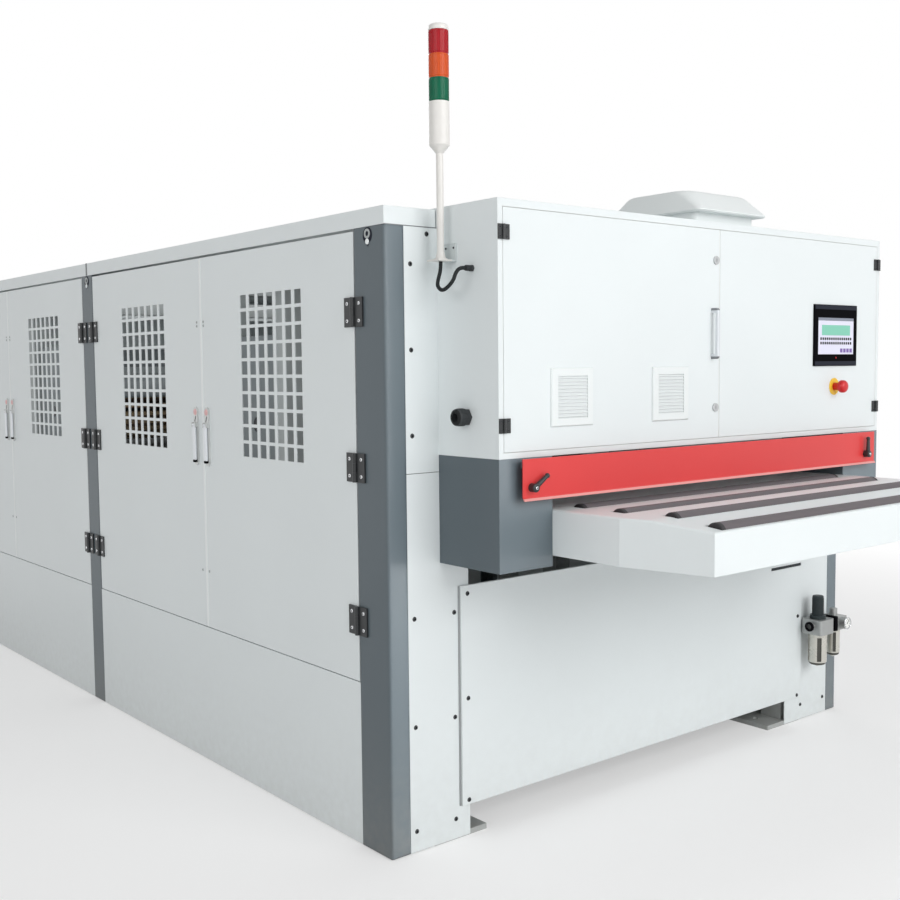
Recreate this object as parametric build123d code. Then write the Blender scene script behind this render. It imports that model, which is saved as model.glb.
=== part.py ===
# Through-feed brush sanding machine: two enclosed brush stations over one feed belt,
# a control cabinet above the infeed and a roller table in front of it.
# Millimetres, +Z up, the infeed faces -Y. Solids are drawn from the foot of the front
# left corner and moved on export, so the origin lies at the bottom centre of the whole.
import os
from math import radians, tan

from build123d import *

# Enclosure
machine_width = 2000.0
module_length = 1878.5
cap_bottom = 1605.0
roof_top = 1650.0
sheet = 3.0
floor_air = 3.0
post_sheet = 4.0
post_front_leg = 60.0
post_side_leg = 129.5
post_bend = 6.0
mid_post_width = 97.0
mid_post_depth = 40.0
keyhole_y = 68.0
keyhole_z = 1578.0
keyhole_r = 7.0
keyhole_slot = 6.0
keyhole_drop = 22.0
column_seam = 985.0
column_gap = 1.5
left_column_edge = 260.0
right_column_edge = 1690.0
front_panel_left = 228.0
front_panel_right = 1772.0
front_panel_bottom = 88.6
front_panel_top = 680.0
front_panel_depth = 8.5
slot_left = 1594.0
slot_right = 1767.0
slot_bottom = 553.0
slot_height = 10.0
lower_panel_top = 436.0
panel_depth = 20.0
spigot_r = 80.0
spigot_height = 90.0
spigot_flange = 20.0
outlet_bottom = 860.0
outlet_top = 1040.0

# Base frame
beam = 80.0
beam_bottom = 95.0
beam_top = 195.0
tube_wall = 5.0
beam_left = 170.0
beam_right = 1695.0
cross_start = 20.0
foot_thick = 15.0
foot_width = 180.0
foot_length = 160.0
foot_left = 140.0
foot_right = 1598.0
foot_setback = 3.0
anchor_left = 285.0
anchor_right = 1640.0
anchor_r = 9.0
bed_post = 60.0
bed_post_inset = 10.0
bed_tube_bottom = 790.0
bed_tube_top = 850.0
bed_tube_inset = 230.0
bed_tube_middle = 1440.0

# Side doors
door_depth = 25.0
door_bottom = 439.0
door_top = 1598.0
hinge_gap = 3.0
seam_gap = 4.0
window_width = 336.0
window_bottom = 995.0
window_height = 475.0
window_columns = 7
window_rows = 10
hole_width = 35.0
hole_height = 39.0
side_hinge_heights = (600.0, 998.0, 1395.0)
side_leaf_width = 40.0
side_leaf_height = 75.0
side_leaf_thick = 5.0
side_knuckle_r = 6.0
side_pin_r = 3.0
pin_air = 0.05
knuckle_air = 1.0
knuckle_gap = 0.3
handle_offset = 37.0
handle_bottom = 953.0
handle_top = 1136.0
handle_base_width = 25.0
handle_base_thick = 6.0
lever_bottom = 961.0
lever_pivot = 1080.0
lever_width = 19.0
lever_thick = 7.6
lever_edge = 2.5
lever_air = 0.4
lever_pin_r = 2.5
ear_thick = 2.5
ear_air = 0.4

# Control cabinet
cabinet_left = 165.0
cabinet_right = 1856.0
cabinet_front = -232.5
cabinet_back = 140.0
cabinet_bottom = 1029.0
cabinet_top = 1647.5
cabinet_air = 4.0
rim_height = 7.5
rim_width = 6.0
plate_margin = 50.0
plate_stand_off = 10.0
stand_off_r = 6.0
stand_off_inset = 30.0
duct_width = 50.0
duct_depth = 60.0
duct_wall = 2.0
drive_size = (150.0, 85.0, 140.0)
contactor_size = (70.0, 75.0, 90.0)
breaker_size = (90.0, 70.0, 95.0)
device_gap = 30.0
cabinet_door_depth = 20.0
cabinet_door_left = 182.0
cabinet_door_right = 1840.0
cabinet_door_bottom = 1045.0
cabinet_door_top = 1634.0
cabinet_door_gap = 2.0
cabinet_hinge_heights = (1110.0, 1575.0)
cabinet_leaf_width = 20.0
cabinet_leaf_height = 36.0
cabinet_leaf_thick = 3.5
cabinet_knuckle_r = 4.0
cabinet_pin_r = 2.0
grip_x = 979.0
grip_bottom = 1269.0
grip_top = 1413.0
grip_width = 11.0
grip_thick = 9.0
grip_rise = 24.0
grip_foot = 14.0
grip_edge = 3.0
lock_x = 993.0
lock_heights = (1131.0, 1548.0)
lock_r = 9.0
lock_flange_r = 12.0
lock_rise = 4.0
lock_air = 0.2
key_width = 3.0
key_length = 10.0
fan_centres = (413.0, 795.0)
fan_z = 1175.0
fan_width = 150.0
fan_height = 148.0
fan_rise = 6.0
fan_field = 106.0
fan_recess = 3.0
fan_slats = 12
slat_thick = 1.2
slat_depth = 3.6
slat_tilt = 35.0
fan_body = 124.0
fan_body_depth = 62.0
cutout_air = 0.5
hmi_left = 1478.0
hmi_right = 1717.0
hmi_bottom = 1245.0
hmi_top = 1438.0
hmi_rise = 6.0
hmi_border = 12.0
hmi_body_depth = 45.0
screen_width = 199.0
screen_bottom = 1282.0
screen_top = 1397.0
screen_depth = 1.5
estop_x = 1597.0
estop_z = 1180.0
estop_head_r = 20.0
estop_stem_r = 12.0
estop_collar_r = 27.0
estop_collar = 3.0
estop_rise = 46.0
estop_head = 22.0
estop_depth = 40.0
vent_left = 955.0
vent_right = 1275.0
vent_front = -205.0
vent_back = 153.0
vent_rim = 1692.0
vent_lip = 5.0
vent_crown = 6.0
vent_top = 1756.0
vent_top_inset_x = 12.0
vent_top_inset_y = 66.0
vent_rim_corner = 18.0
vent_top_corner = 45.0
vent_neck_inset_x = 22.0
vent_neck_inset_y = 33.0

# Signal tower and its cable
tower_x = 132.0
tower_y = -57.0
pole_r = 9.0
pole_bottom = 1515.0
pole_flange_r = 17.0
pole_flange = 3.0
pole_flare_r = 13.0
pole_flare = 19.0
tower_base_bottom = 1778.0
tower_r = 25.5
tower_taper = 20.0
lens_bottom = 1903.0
lens_height = 57.0
lens_r = 25.0
lens_edge = 0.8
tower_cap = 15.0
bracket_thick = 4.0
bracket_width = 46.0
bracket_reach = 25.0
bracket_height = 45.0
cable_d = 9.5
bend_share = 0.45
cable_route = (
    (132.0, -57.0, 1515.0),
    (132.0, -57.0, 1495.0),
    (118.5, -62.0, 1467.5),
    (112.5, -67.0, 1452.0),
    (111.5, -89.0, 1438.0),
    (110.0, -130.5, 1459.0),
    (114.0, -137.5, 1483.0),
    (127.0, -139.0, 1494.0),
    (143.0, -139.0, 1494.0),
)
gland_y = -139.0
gland_z = 1494.0
gland_r = 8.5
gland_length = 22.0
power_gland_y = -112.0
power_gland_z = 1129.0
power_gland_r = 21.5
power_gland_length = 38.0
power_bore_r = 11.0
power_bore_depth = 30.0
gland_nose_r = 6.8
power_hex_r = 22.5

# Infeed
block_bottom = 748.6
block_inner_left = 344.0
block_inner_right = 1656.0
flap_left = 221.0
flap_right = 1800.0
flap_bottom = 925.0
flap_top = 1028.0
flap_face = -257.0
flap_lip_height = 9.0
flap_lip_reach = 6.5
flap_axis_y = -245.0
flap_axis_z = 1012.0
flap_pin_r = 4.0
flap_lug_left = 236.0
flap_lug_right = 1752.0
flap_lug_thick = 12.0
flap_lug_r = 8.0
flap_tab_thick = 5.0
flap_tab_air = 0.5
clamp_left = 249.0
clamp_right = 1744.0
clamp_z = 957.5
clamp_left_tilt = 33.0
clamp_right_tilt = 90.0
clamp_hub_r = 11.0
clamp_hub = 20.0
clamp_arm = 50.0
clamp_arm_root_r = 7.0
clamp_arm_tip_r = 5.0
clamp_ball_r = 6.5
clamp_stud_r = 4.0
clamp_stud_air = 0.3
clamp_stud_gap = 0.7
table_left = 344.0
table_right = 1656.0
table_nose_inset = 56.0
table_reach = 693.0
table_straight = 458.0
table_level = 530.0
table_back = 8.0
table_top = 893.0
table_nose_top = 876.0
table_bottom = 776.0
table_sheet = 5.0
table_edge = 6.0
roller_lines = (-248.0, -384.0, -524.0, -655.0)
roller_reaches = (578.0, 578.0, 548.0, 552.0)
roller_rises = (9.0, 9.0, 10.0, 12.0)
roller_r = 25.0
roller_edge = 4.0
roller_slot = 52.0
roller_slot_air = 6.0
axle_r = 8.0
axle_bracket = 10.0
axle_bracket_half = 28.0
axle_bracket_depth = 80.0

# Feed belt
belt_left = 350.0
belt_right = 1650.0
belt_top = 900.0
belt_thick = 3.5
belt_air = 0.3
drum_r = 70.0
drum_shaft_r = 20.0
front_drum_y = 95.0
rear_drum_y = 3640.0
bed_thick = 5.0
bed_rib = 10.0
bed_end_air = 15.0
belt_side_air = 7.0
bearing_plate = 18.0
bearing_plate_low = 64.0
bearing_plate_high = 54.0
bearing_front_reach = 70.0
gearbox = 115.0
gear_motor_r = 65.0
gear_motor_length = 230.0
gear_core_r = 58.0
gear_fins = 20
gear_fin = 3.5
gear_cowl = 50.0
gear_neck_r = 55.0
gear_neck = 30.0
gearbox_overhang = 10.0

# Brush stations
station_lines = (980.0, 2790.0)
brush_r = 140.0
brush_bottom = 933.0
brush_left = 345.0
brush_right = 1655.0
brush_core_r = 90.0
brush_strips = 22
brush_strip = 16.0
brush_core = 12.0
shaft_end_air = 2.0
brush_shaft_r = 25.0
portal_half = 150.0
portal_top = 1500.0
portal_tube = 60.0
carriage_air = 0.5
carriage_left = 195.0
carriage_right = 1697.0
carriage_plate = 30.0
carriage_low = 960.0
carriage_high = 1360.0
carriage_beam_low = 1270.0
carriage_beam_high = 1350.0
carriage_beam_half = 50.0
carriage_wall = 6.0
hood_r = 160.0
hood_drop = 20.0
bearing_r = 55.0
bearing_length = 30.0
spindle_left = 450.0
spindle_right = 1550.0
spindle_r = 15.0
spindle_bottom = 1285.0
spindle_plate = 20.0
spindle_plate_width = 60.0
motor_flange_r = 100.0
motor_flange = 14.0
motor_r = 88.0
motor_length = 215.0
motor_core_r = 79.0
motor_fins = 24
motor_fin = 4.0
motor_cowl = 55.0
motor_box = 90.0
motor_box_rise = 120.0

# Air service unit
unit_x = 1809.0
oiler_x = 1904.0
unit_y = -50.0
unit_half = 40.0
unit_bottom = 316.0
unit_top = 368.0
bowl_r = 30.0
oiler_r = 22.0
bowl_bottom = 206.0
oiler_bottom = 224.0
guard_slots = 4
guard_slot_share = 0.45
guard_slot_depth = 2.5
guard_band = 14.0
knob_r = 19.0
knob_collar_r = 27.0
knob_collar = 12.0
knob_top = 448.0
knob_air = 0.4
gauge_r = 21.0
gauge_depth = 22.0
gauge_glass_r = 18.0
gauge_glass_depth = 1.5
gauge_z = 345.0
port_r = 9.3
port_depth = 18.0
port_wall = 6.0
port_reach = 14.0
unit_corner = 8.0
oiler_half = 35.0
oiler_drop = 4.0
sight_r = 14.0
sight_height = 22.0
outlet_r = 12.0
outlet_reach = 10.0
stay_left = 1789.0
stay_inset = 10.0
knob_edge = 4.0

total_length = 2 * module_length
origin_x = machine_width / 2
origin_y = (total_length - table_reach) / 2
drum_z = belt_top - belt_thick - belt_air - drum_r
brush_z = brush_bottom + brush_r


def block(x, y, z):
    size = (x[1] - x[0], y[1] - y[0], z[1] - z[0])
    middle = ((x[0] + x[1]) / 2, (y[0] + y[1]) / 2, (z[0] + z[1]) / 2)
    return Pos(*middle) * Box(*size)


def rod(axis, radius, start, end, centre):
    middle = (start + end) / 2
    turn = {"x": Rot(0, 90, 0), "y": Rot(90, 0, 0), "z": Rot(0, 0, 0)}[axis]
    place = {
        "x": (middle, centre[0], centre[1]),
        "y": (centre[0], middle, centre[1]),
        "z": (centre[0], centre[1], middle),
    }[axis]
    return Pos(*place) * turn * Cylinder(radius, end - start)


def shrink(span, amount):
    return (span[0] + amount, span[1] - amount)


def tube(axis, x, y, z, wall=tube_wall):
    outer = block(x, y, z)
    inner = block(
        x if axis == "x" else shrink(x, wall),
        y if axis == "y" else shrink(y, wall),
        z if axis == "z" else shrink(z, wall),
    )
    return outer - inner


def pan(x, y, z, open_side, wall=sheet):
    spans = {"x": shrink(x, wall), "y": shrink(y, wall), "z": shrink(z, wall)}
    low, high = spans[open_side[1]]
    if open_side[0] == "+":
        spans[open_side[1]] = (low, high + wall)
    else:
        spans[open_side[1]] = (low - wall, high)
    return block(x, y, z) - block(spans["x"], spans["y"], spans["z"])


def across(shape):
    return mirror(shape, about=Plane.YZ.offset(machine_width / 2))


def lengthwise(shape):
    return mirror(shape, about=Plane.XZ.offset(-module_length))


def hinge_leaf(side, width, height, thick, knuckle_r, bands):
    # The mounting face is Y 0, the outside +Y, and side +1 puts the leaf towards +X of the pin.
    clear = knuckle_r + knuckle_gap
    leaf = block(sorted((side * clear, side * width)), (0, thick), (-height / 2, height / 2))
    for low, high in bands:
        leaf += block(sorted((0, side * clear)), (knuckle_air, thick), (low, high))
        leaf += rod("z", knuckle_r, low, high, (0, knuckle_r + knuckle_air))
    return leaf


def fixed_leaf(side, width, height, thick, knuckle_r, pin_r):
    third = height / 6
    bands = ((-height / 2, -third), (third, height / 2))
    leaf = hinge_leaf(side, width, height, thick, knuckle_r, bands)
    return leaf + rod("z", pin_r, -height / 2, height / 2, (0, knuckle_r + knuckle_air))


def moving_leaf(side, width, height, thick, knuckle_r, pin_r):
    third = height / 6 - knuckle_gap
    leaf = hinge_leaf(side, width, height, thick, knuckle_r, ((-third, third),))
    return leaf - rod("z", pin_r + pin_air, -height, height, (0, knuckle_r + knuckle_air))


side_hinge = (side_leaf_width, side_leaf_height, side_leaf_thick, side_knuckle_r, side_pin_r)
cabinet_hinge = (
    cabinet_leaf_width,
    cabinet_leaf_height,
    cabinet_leaf_thick,
    cabinet_knuckle_r,
    cabinet_pin_r,
)
bay_spans = (
    (post_side_leg, module_length - mid_post_width / 2),
    (module_length + mid_post_width / 2, total_length - post_side_leg),
)


def base_frame():
    low, high = beam_bottom, beam_top
    starts = (cross_start, module_length - beam / 2, total_length - cross_start - beam)
    rear_foot = total_length - panel_depth - foot_setback - foot_length
    feet = (foot_setback, module_length - foot_length / 2, rear_foot)
    pieces = []
    for start, foot in zip(starts, feet):
        inside = (post_sheet, machine_width - post_sheet)
        pieces.append(tube("x", inside, (start, start + beam), (low, high)))
        for x, plate, anchor in (
            (beam_left, foot_left, anchor_left),
            (beam_right, foot_right, anchor_right),
        ):
            pieces.append(tube("z", (x, x + beam), (start, start + beam), (foot_thick, low)))
            base = block((plate, plate + foot_width), (foot, foot + foot_length), (0, foot_thick))
            pieces.append(base - rod("z", anchor_r, 0, foot_thick, (anchor, foot + foot_length / 2)))
    for x in (beam_left, beam_right):
        for start, end in zip(starts, starts[1:]):
            pieces.append(tube("y", (x, x + beam), (start + beam, end), (low, high)))
    for line in station_lines:
        pieces += portal(line)
    return pieces + bed_supports()


def portal(line):
    pieces = []
    for start in (line - portal_half - beam, line + portal_half):
        y = (start, start + beam)
        for x in (beam_left, beam_right):
            pieces.append(tube("z", (x, x + beam), y, (beam_top, portal_top)))
        pieces.append(tube("x", (beam_left, beam_right + beam), y, (portal_top, portal_top + portal_tube)))
    for x in (spindle_left, spindle_right):
        half = spindle_plate_width / 2
        y = (line - portal_half, line + portal_half)
        pieces.append(block((x - half, x + half), y, (portal_top, portal_top + spindle_plate)))
    return pieces


def bed_support_lines():
    return (
        bed_tube_inset,
        bed_tube_middle,
        total_length - bed_tube_middle - bed_post,
        total_length - bed_tube_inset - bed_post,
    )


def bed_supports():
    pieces = []
    left = beam_left + bed_post_inset
    right = beam_right + bed_post_inset
    for line in bed_support_lines():
        y = (line, line + bed_post)
        for x in (left, right):
            pieces.append(tube("z", (x, x + bed_post), y, (beam_top, bed_tube_bottom)))
        pieces.append(tube("x", (left, right + bed_post), y, (bed_tube_bottom, bed_tube_top)))
    return pieces


def keyhole(y, depth):
    cut = rod("x", keyhole_r, -1, depth, (y, keyhole_z))
    half = keyhole_slot / 2
    return cut + block((-1, depth), (y - half, y + half), (keyhole_z - keyhole_drop, keyhole_z))


def posts():
    outline = Polyline(
        (0, 0),
        (post_front_leg, 0),
        (post_front_leg, post_sheet),
        (post_sheet, post_sheet),
        (post_sheet, post_side_leg),
        (0, post_side_leg),
        close=True,
    )
    face = make_face(outline)
    face = fillet(face.vertices().sort_by_distance((0, 0))[0], post_bend)
    corner = extrude(Pos(0, 0, floor_air) * face, cap_bottom - floor_air)
    corner -= keyhole(keyhole_y, post_sheet + 1)
    middle = pan(
        (0, mid_post_depth),
        (module_length - mid_post_width / 2, module_length + mid_post_width / 2),
        (floor_air - post_sheet, cap_bottom + post_sheet),
        "+x",
        post_sheet,
    )
    middle &= block((0, mid_post_depth), (0, total_length), (floor_air, cap_bottom))
    middle -= keyhole(module_length, post_sheet + 1)
    left = [corner, middle, lengthwise(corner)]
    return left + [across(piece) for piece in left]


def front_columns():
    y = (0, sheet)
    upper = (column_seam + column_gap / 2, cap_bottom)
    lower = (floor_air, column_seam - column_gap / 2)
    right_start = machine_width - post_front_leg
    return [
        block((post_front_leg, cabinet_left), y, upper),
        block((post_front_leg, left_column_edge), y, lower),
        block((cabinet_right, right_start), y, upper),
        block((right_column_edge, right_start), y, lower),
    ]


def lower_front_panel():
    x = (front_panel_left, front_panel_right)
    z = (front_panel_bottom, front_panel_top)
    panel = pan(x, (-front_panel_depth, 0), z, "+y")
    slot = (slot_bottom, slot_bottom + slot_height)
    return panel - block((slot_left, slot_right), (-front_panel_depth, 0), slot)


def roof_panel(start, end, notched, station):
    corners = [(0, start), (machine_width, start), (machine_width, end), (0, end)]
    if notched:
        left = cabinet_left - cabinet_air
        right = cabinet_right + cabinet_air
        back = cabinet_back + cabinet_air
        corners[1:1] = [(left, start), (left, back), (right, back), (right, start)]
    outline = make_face(Polyline(*corners, close=True))
    cap = extrude(Pos(0, 0, cap_bottom) * outline, roof_top - cap_bottom)
    inside = offset(outline, -sheet, kind=Kind.INTERSECTION)
    cap -= extrude(Pos(0, 0, cap_bottom) * inside, roof_top - cap_bottom - sheet)
    return cap - rod("z", spigot_r - sheet, cap_bottom, roof_top, (machine_width / 2, station))


def extraction_spigot(station):
    centre = (machine_width / 2, station)
    spigot = rod("z", spigot_r, roof_top, roof_top + spigot_height, centre)
    spigot += rod("z", spigot_r + spigot_flange, roof_top, roof_top + sheet, centre)
    return spigot - rod("z", spigot_r - sheet, roof_top, roof_top + spigot_height, centre)


def roof_panels():
    front = roof_panel(0, module_length - 1, True, station_lines[0])
    rear = roof_panel(module_length + 1, total_length, False, station_lines[1])
    return [front, rear] + [extraction_spigot(line) for line in station_lines]


def side_panels():
    panels = []
    for bay in bay_spans:
        lower = pan((0, panel_depth), bay, (floor_air, lower_panel_top), "+x")
        upper = pan((0, panel_depth), bay, (lower_panel_top, cap_bottom), "+x")
        panels += [lower, across(lower), across(upper)]
    return panels


def rear_panel():
    x = (post_front_leg, machine_width - post_front_leg)
    y = (total_length - panel_depth, total_length)
    panel = pan(x, y, (floor_air, cap_bottom), "-y")
    opening = (block_inner_left, block_inner_right)
    return panel - block(opening, y, (outlet_bottom, outlet_top))


def window(start, end):
    centre = (start + end) / 2
    step_y = (window_width - hole_width) / (window_columns - 1)
    step_z = (window_height - hole_height) / (window_rows - 1)
    holes = []
    for column in range(window_columns):
        y = centre - window_width / 2 + column * step_y
        for row in range(window_rows):
            z = window_bottom + row * step_z
            holes.append(block((0, sheet), (y, y + hole_width), (z, z + hole_height)))
    return holes


def door_span(index):
    bay = bay_spans[index // 2]
    seam = sum(bay) / 2
    if index % 2 == 0:
        return (bay[0] + hinge_gap, seam - seam_gap / 2)
    return (seam + seam_gap / 2, bay[1] - hinge_gap)


def door_hinge_line(index):
    bay = bay_spans[index // 2]
    return (bay[0] + hinge_gap / 2, 1) if index % 2 == 0 else (bay[1] - hinge_gap / 2, -1)


def handle_line(index):
    seam = sum(bay_spans[index // 2]) / 2
    return seam - handle_offset if index % 2 == 0 else seam + handle_offset


def lever_axis_x():
    return -handle_base_thick - lever_air - lever_thick / 2


def handle_base(y):
    half = handle_base_width / 2
    ends = shrink((handle_bottom, handle_top), half)
    base = block((-handle_base_thick, 0), (y - half, y + half), ends)
    for z in ends:
        base += rod("x", half, -handle_base_thick, 0, (y, z))
    ear_start = lever_width / 2 + ear_air
    for side in (-1, 1):
        span = sorted((y + side * ear_start, y + side * (ear_start + ear_thick)))
        ear = (lever_axis_x() - lever_thick / 2, -handle_base_thick)
        base += block(ear, span, (lever_pivot - lever_thick, lever_pivot + lever_thick))
    reach = ear_start + ear_thick
    return base + rod("y", lever_pin_r, y - reach, y + reach, (lever_axis_x(), lever_pivot))


def side_door(index):
    start, end = door_span(index)
    door = pan((0, door_depth), (start, end), (door_bottom, door_top), "+x")
    door -= window(start, end)
    line, towards = door_hinge_line(index)
    for z in side_hinge_heights:
        door += Pos(0, line, z) * Rot(0, 0, 90) * moving_leaf(towards, *side_hinge)
    return door + handle_base(handle_line(index))


def side_hinges():
    leaves = []
    for index in range(4):
        line, towards = door_hinge_line(index)
        for z in side_hinge_heights:
            leaves.append(Pos(0, line, z) * Rot(0, 0, 90) * fixed_leaf(-towards, *side_hinge))
    return leaves


def door_handle(index):
    y = handle_line(index)
    x = lever_axis_x()
    half = lever_thick / 2
    width = lever_width / 2
    lever = block((x - half, x + half), (y - width, y + width), (lever_bottom, lever_pivot))
    lever = fillet(lever.edges().filter_by(Axis.Z), lever_edge)
    lever += rod("y", half, y - width, y + width, (x, lever_pivot))
    return lever - rod("y", lever_pin_r + pin_air, y - width, y + width, (x, lever_pivot))


def cabinet_shell():
    x = (cabinet_left, cabinet_right)
    y = (cabinet_front, cabinet_back)
    z = (cabinet_bottom, cabinet_top)
    shell = block(x, y, z) - block(shrink(x, sheet), shrink(y, sheet), shrink(z, sheet))
    gap = cabinet_door_gap
    shell -= block(
        (cabinet_door_left - gap, cabinet_door_right + gap),
        (cabinet_front, cabinet_front + sheet),
        (cabinet_door_bottom - gap, cabinet_door_top + gap),
    )
    rim = block(x, y, (cabinet_top, cabinet_top + rim_height))
    rim -= block(shrink(x, rim_width), shrink(y, rim_width), (cabinet_top, cabinet_top + rim_height))
    return shell + rim


def plate_spans():
    x = (cabinet_left + plate_margin, cabinet_right - plate_margin)
    z = (cabinet_door_bottom + plate_margin / 2, cabinet_door_top - plate_margin / 2)
    return x, z


def device_row(size, count, start, bottom):
    face = cabinet_back - sheet - plate_stand_off
    devices = []
    for number in range(count):
        x = start + number * (size[0] + device_gap)
        devices.append(block((x, x + size[0]), (face - size[1], face), (bottom, bottom + size[2])))
    return devices


def mounting_plate():
    x, z = plate_spans()
    back = cabinet_back - sheet
    face = back - plate_stand_off
    plate = block(x, (face, face + sheet), z)
    for stud_x in shrink(x, stand_off_inset):
        for stud_z in shrink(z, stand_off_inset):
            plate += rod("y", stand_off_r, face + sheet, back, (stud_x, stud_z))
    front = (face - duct_depth, face)
    ducts = []
    middle = (z[0] + z[1] - duct_width) / 2
    for low in (z[0], middle, z[1] - duct_width):
        ducts.append(tube("x", shrink(x, duct_width), front, (low, low + duct_width), duct_wall))
    for left in (x[0], x[1] - duct_width):
        ducts.append(tube("z", (left, left + duct_width), front, z, duct_wall))
    start = x[0] + duct_width + device_gap
    lower = z[0] + duct_width + device_gap
    upper = middle + duct_width + device_gap
    drives = device_row(drive_size, 4, start, lower)
    contactors = device_row(contactor_size, 7, start + 4 * (drive_size[0] + device_gap), lower)
    breakers = device_row(breaker_size, 10, start, upper)
    return [plate] + ducts + drives + contactors + breakers


def cabinet_door_spans():
    seam = (cabinet_door_left + cabinet_door_right) / 2
    half = cabinet_door_gap / 2 + 1
    return (cabinet_door_left, seam - half), (seam + half, cabinet_door_right)


def cabinet_door_blank(index):
    y = (cabinet_front, cabinet_front + cabinet_door_depth)
    door = pan(cabinet_door_spans()[index], y, (cabinet_door_bottom, cabinet_door_top), "+y")
    line = cabinet_door_left - cabinet_door_gap / 2
    towards = -1
    if index == 1:
        line = cabinet_door_right + cabinet_door_gap / 2
        towards = 1
    for z in cabinet_hinge_heights:
        door += Pos(line, cabinet_front, z) * Rot(0, 0, 180) * moving_leaf(towards, *cabinet_hinge)
    return door


def cabinet_hinges():
    leaves = []
    width = cabinet_door_left - cabinet_left - cabinet_door_gap / 2
    fixed = (width,) + cabinet_hinge[1:]
    for line, towards in (
        (cabinet_door_left - cabinet_door_gap / 2, 1),
        (cabinet_door_right + cabinet_door_gap / 2, -1),
    ):
        for z in cabinet_hinge_heights:
            leaves.append(Pos(line, cabinet_front, z) * Rot(0, 0, 180) * fixed_leaf(towards, *fixed))
    return leaves


def cabinet_door_1():
    door = cabinet_door_blank(0)
    skin = (cabinet_front, cabinet_front + sheet)
    half = fan_body / 2 + cutout_air
    for x in fan_centres:
        door -= block((x - half, x + half), skin, (fan_z - half, fan_z + half))
    for z in lock_heights:
        door -= rod("y", lock_r + lock_air, skin[0], skin[1], (lock_x, z))
    return door


def cabinet_door_2():
    door = cabinet_door_blank(1)
    skin = (cabinet_front, cabinet_front + sheet)
    x = shrink((hmi_left, hmi_right), hmi_border - cutout_air)
    z = shrink((hmi_bottom, hmi_top), hmi_border - cutout_air)
    door -= block(x, skin, z)
    centre = (estop_x, estop_z)
    collar = rod("y", estop_collar_r, skin[0] - estop_collar, skin[0], centre)
    collar = chamfer(collar.edges().group_by(Axis.Y)[0], estop_collar / 3)
    hole = rod("y", estop_stem_r + lock_air, skin[0] - estop_collar, skin[1], centre)
    return [door - hole, collar - hole]


def cabinet_handle():
    x = (grip_x - grip_width / 2, grip_x + grip_width / 2)
    outer = (cabinet_front - grip_rise, cabinet_front)
    grip = block(x, outer, (grip_bottom, grip_top))
    grip = fillet(grip.edges().filter_by(Axis.X).group_by(Axis.Y)[0], grip_thick)
    finger = (cabinet_front - grip_rise + grip_thick, cabinet_front)
    grip -= block(x, finger, shrink((grip_bottom, grip_top), grip_foot))
    return fillet(grip.edges().filter_by(Axis.Z).group_by(Axis.Y)[0], grip_edge)


def cabinet_lock(z):
    lock = rod("y", lock_flange_r, cabinet_front - lock_rise, cabinet_front - lock_air, (lock_x, z))
    lock += rod("y", lock_r, cabinet_front - lock_air, cabinet_front + cabinet_door_depth, (lock_x, z))
    key_x = (lock_x - key_width / 2, lock_x + key_width / 2)
    key_z = (z - key_length / 2, z + key_length / 2)
    return lock - block(key_x, (cabinet_front - lock_rise, cabinet_front), key_z)


def fan_louvre(x):
    pitch = fan_field / fan_slats
    y = cabinet_front - fan_rise + fan_recess / 2
    slat = Rot(-slat_tilt, 0, 0) * Box(fan_field, slat_thick, slat_depth)
    lowest = fan_z + (pitch - fan_field) / 2
    return [Pos(x, y, lowest + number * pitch) * slat for number in range(fan_slats)]


def filter_fans():
    fans = []
    for x in fan_centres:
        half_x, half_z = fan_width / 2, fan_height / 2
        outer = (cabinet_front - fan_rise, cabinet_front)
        frame = block((x - half_x, x + half_x), outer, (fan_z - half_z, fan_z + half_z))
        frame = chamfer(frame.edges().group_by(Axis.Y)[0], fan_rise / 2)
        field = fan_field / 2
        recess = (outer[0], outer[0] + fan_recess)
        frame -= block((x - field, x + field), recess, (fan_z - field, fan_z + field))
        frame += fan_louvre(x)
        half = fan_body / 2
        body = (cabinet_front, cabinet_front + fan_body_depth)
        fans.append(frame + block((x - half, x + half), body, (fan_z - half, fan_z + half)))
    return fans


def screen_span():
    middle = (hmi_left + hmi_right) / 2
    return (middle - screen_width / 2, middle + screen_width / 2)


def hmi_housing():
    x = (hmi_left, hmi_right)
    z = (hmi_bottom, hmi_top)
    bezel = block(x, (cabinet_front - hmi_rise, cabinet_front), z)
    bezel = fillet(bezel.edges().group_by(Axis.Y)[0], hmi_rise / 3)
    body = (cabinet_front, cabinet_front + hmi_body_depth)
    bezel += block(shrink(x, hmi_border), body, shrink(z, hmi_border))
    outer = cabinet_front - hmi_rise
    return bezel - block(screen_span(), (outer, outer + screen_depth), (screen_bottom, screen_top))


def hmi_screen():
    outer = cabinet_front - hmi_rise
    y = (outer + screen_depth / 3, outer + screen_depth)
    return block(screen_span(), y, (screen_bottom, screen_top))


def estop_button():
    face = cabinet_front - estop_rise
    head = rod("y", estop_head_r, face, face + estop_head, (estop_x, estop_z))
    head = fillet(head.edges().group_by(Axis.Y)[0], estop_head / 2)
    stem = (face + estop_head, cabinet_front + estop_depth)
    return head + rod("y", estop_stem_r, stem[0], stem[1], (estop_x, estop_z))


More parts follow.
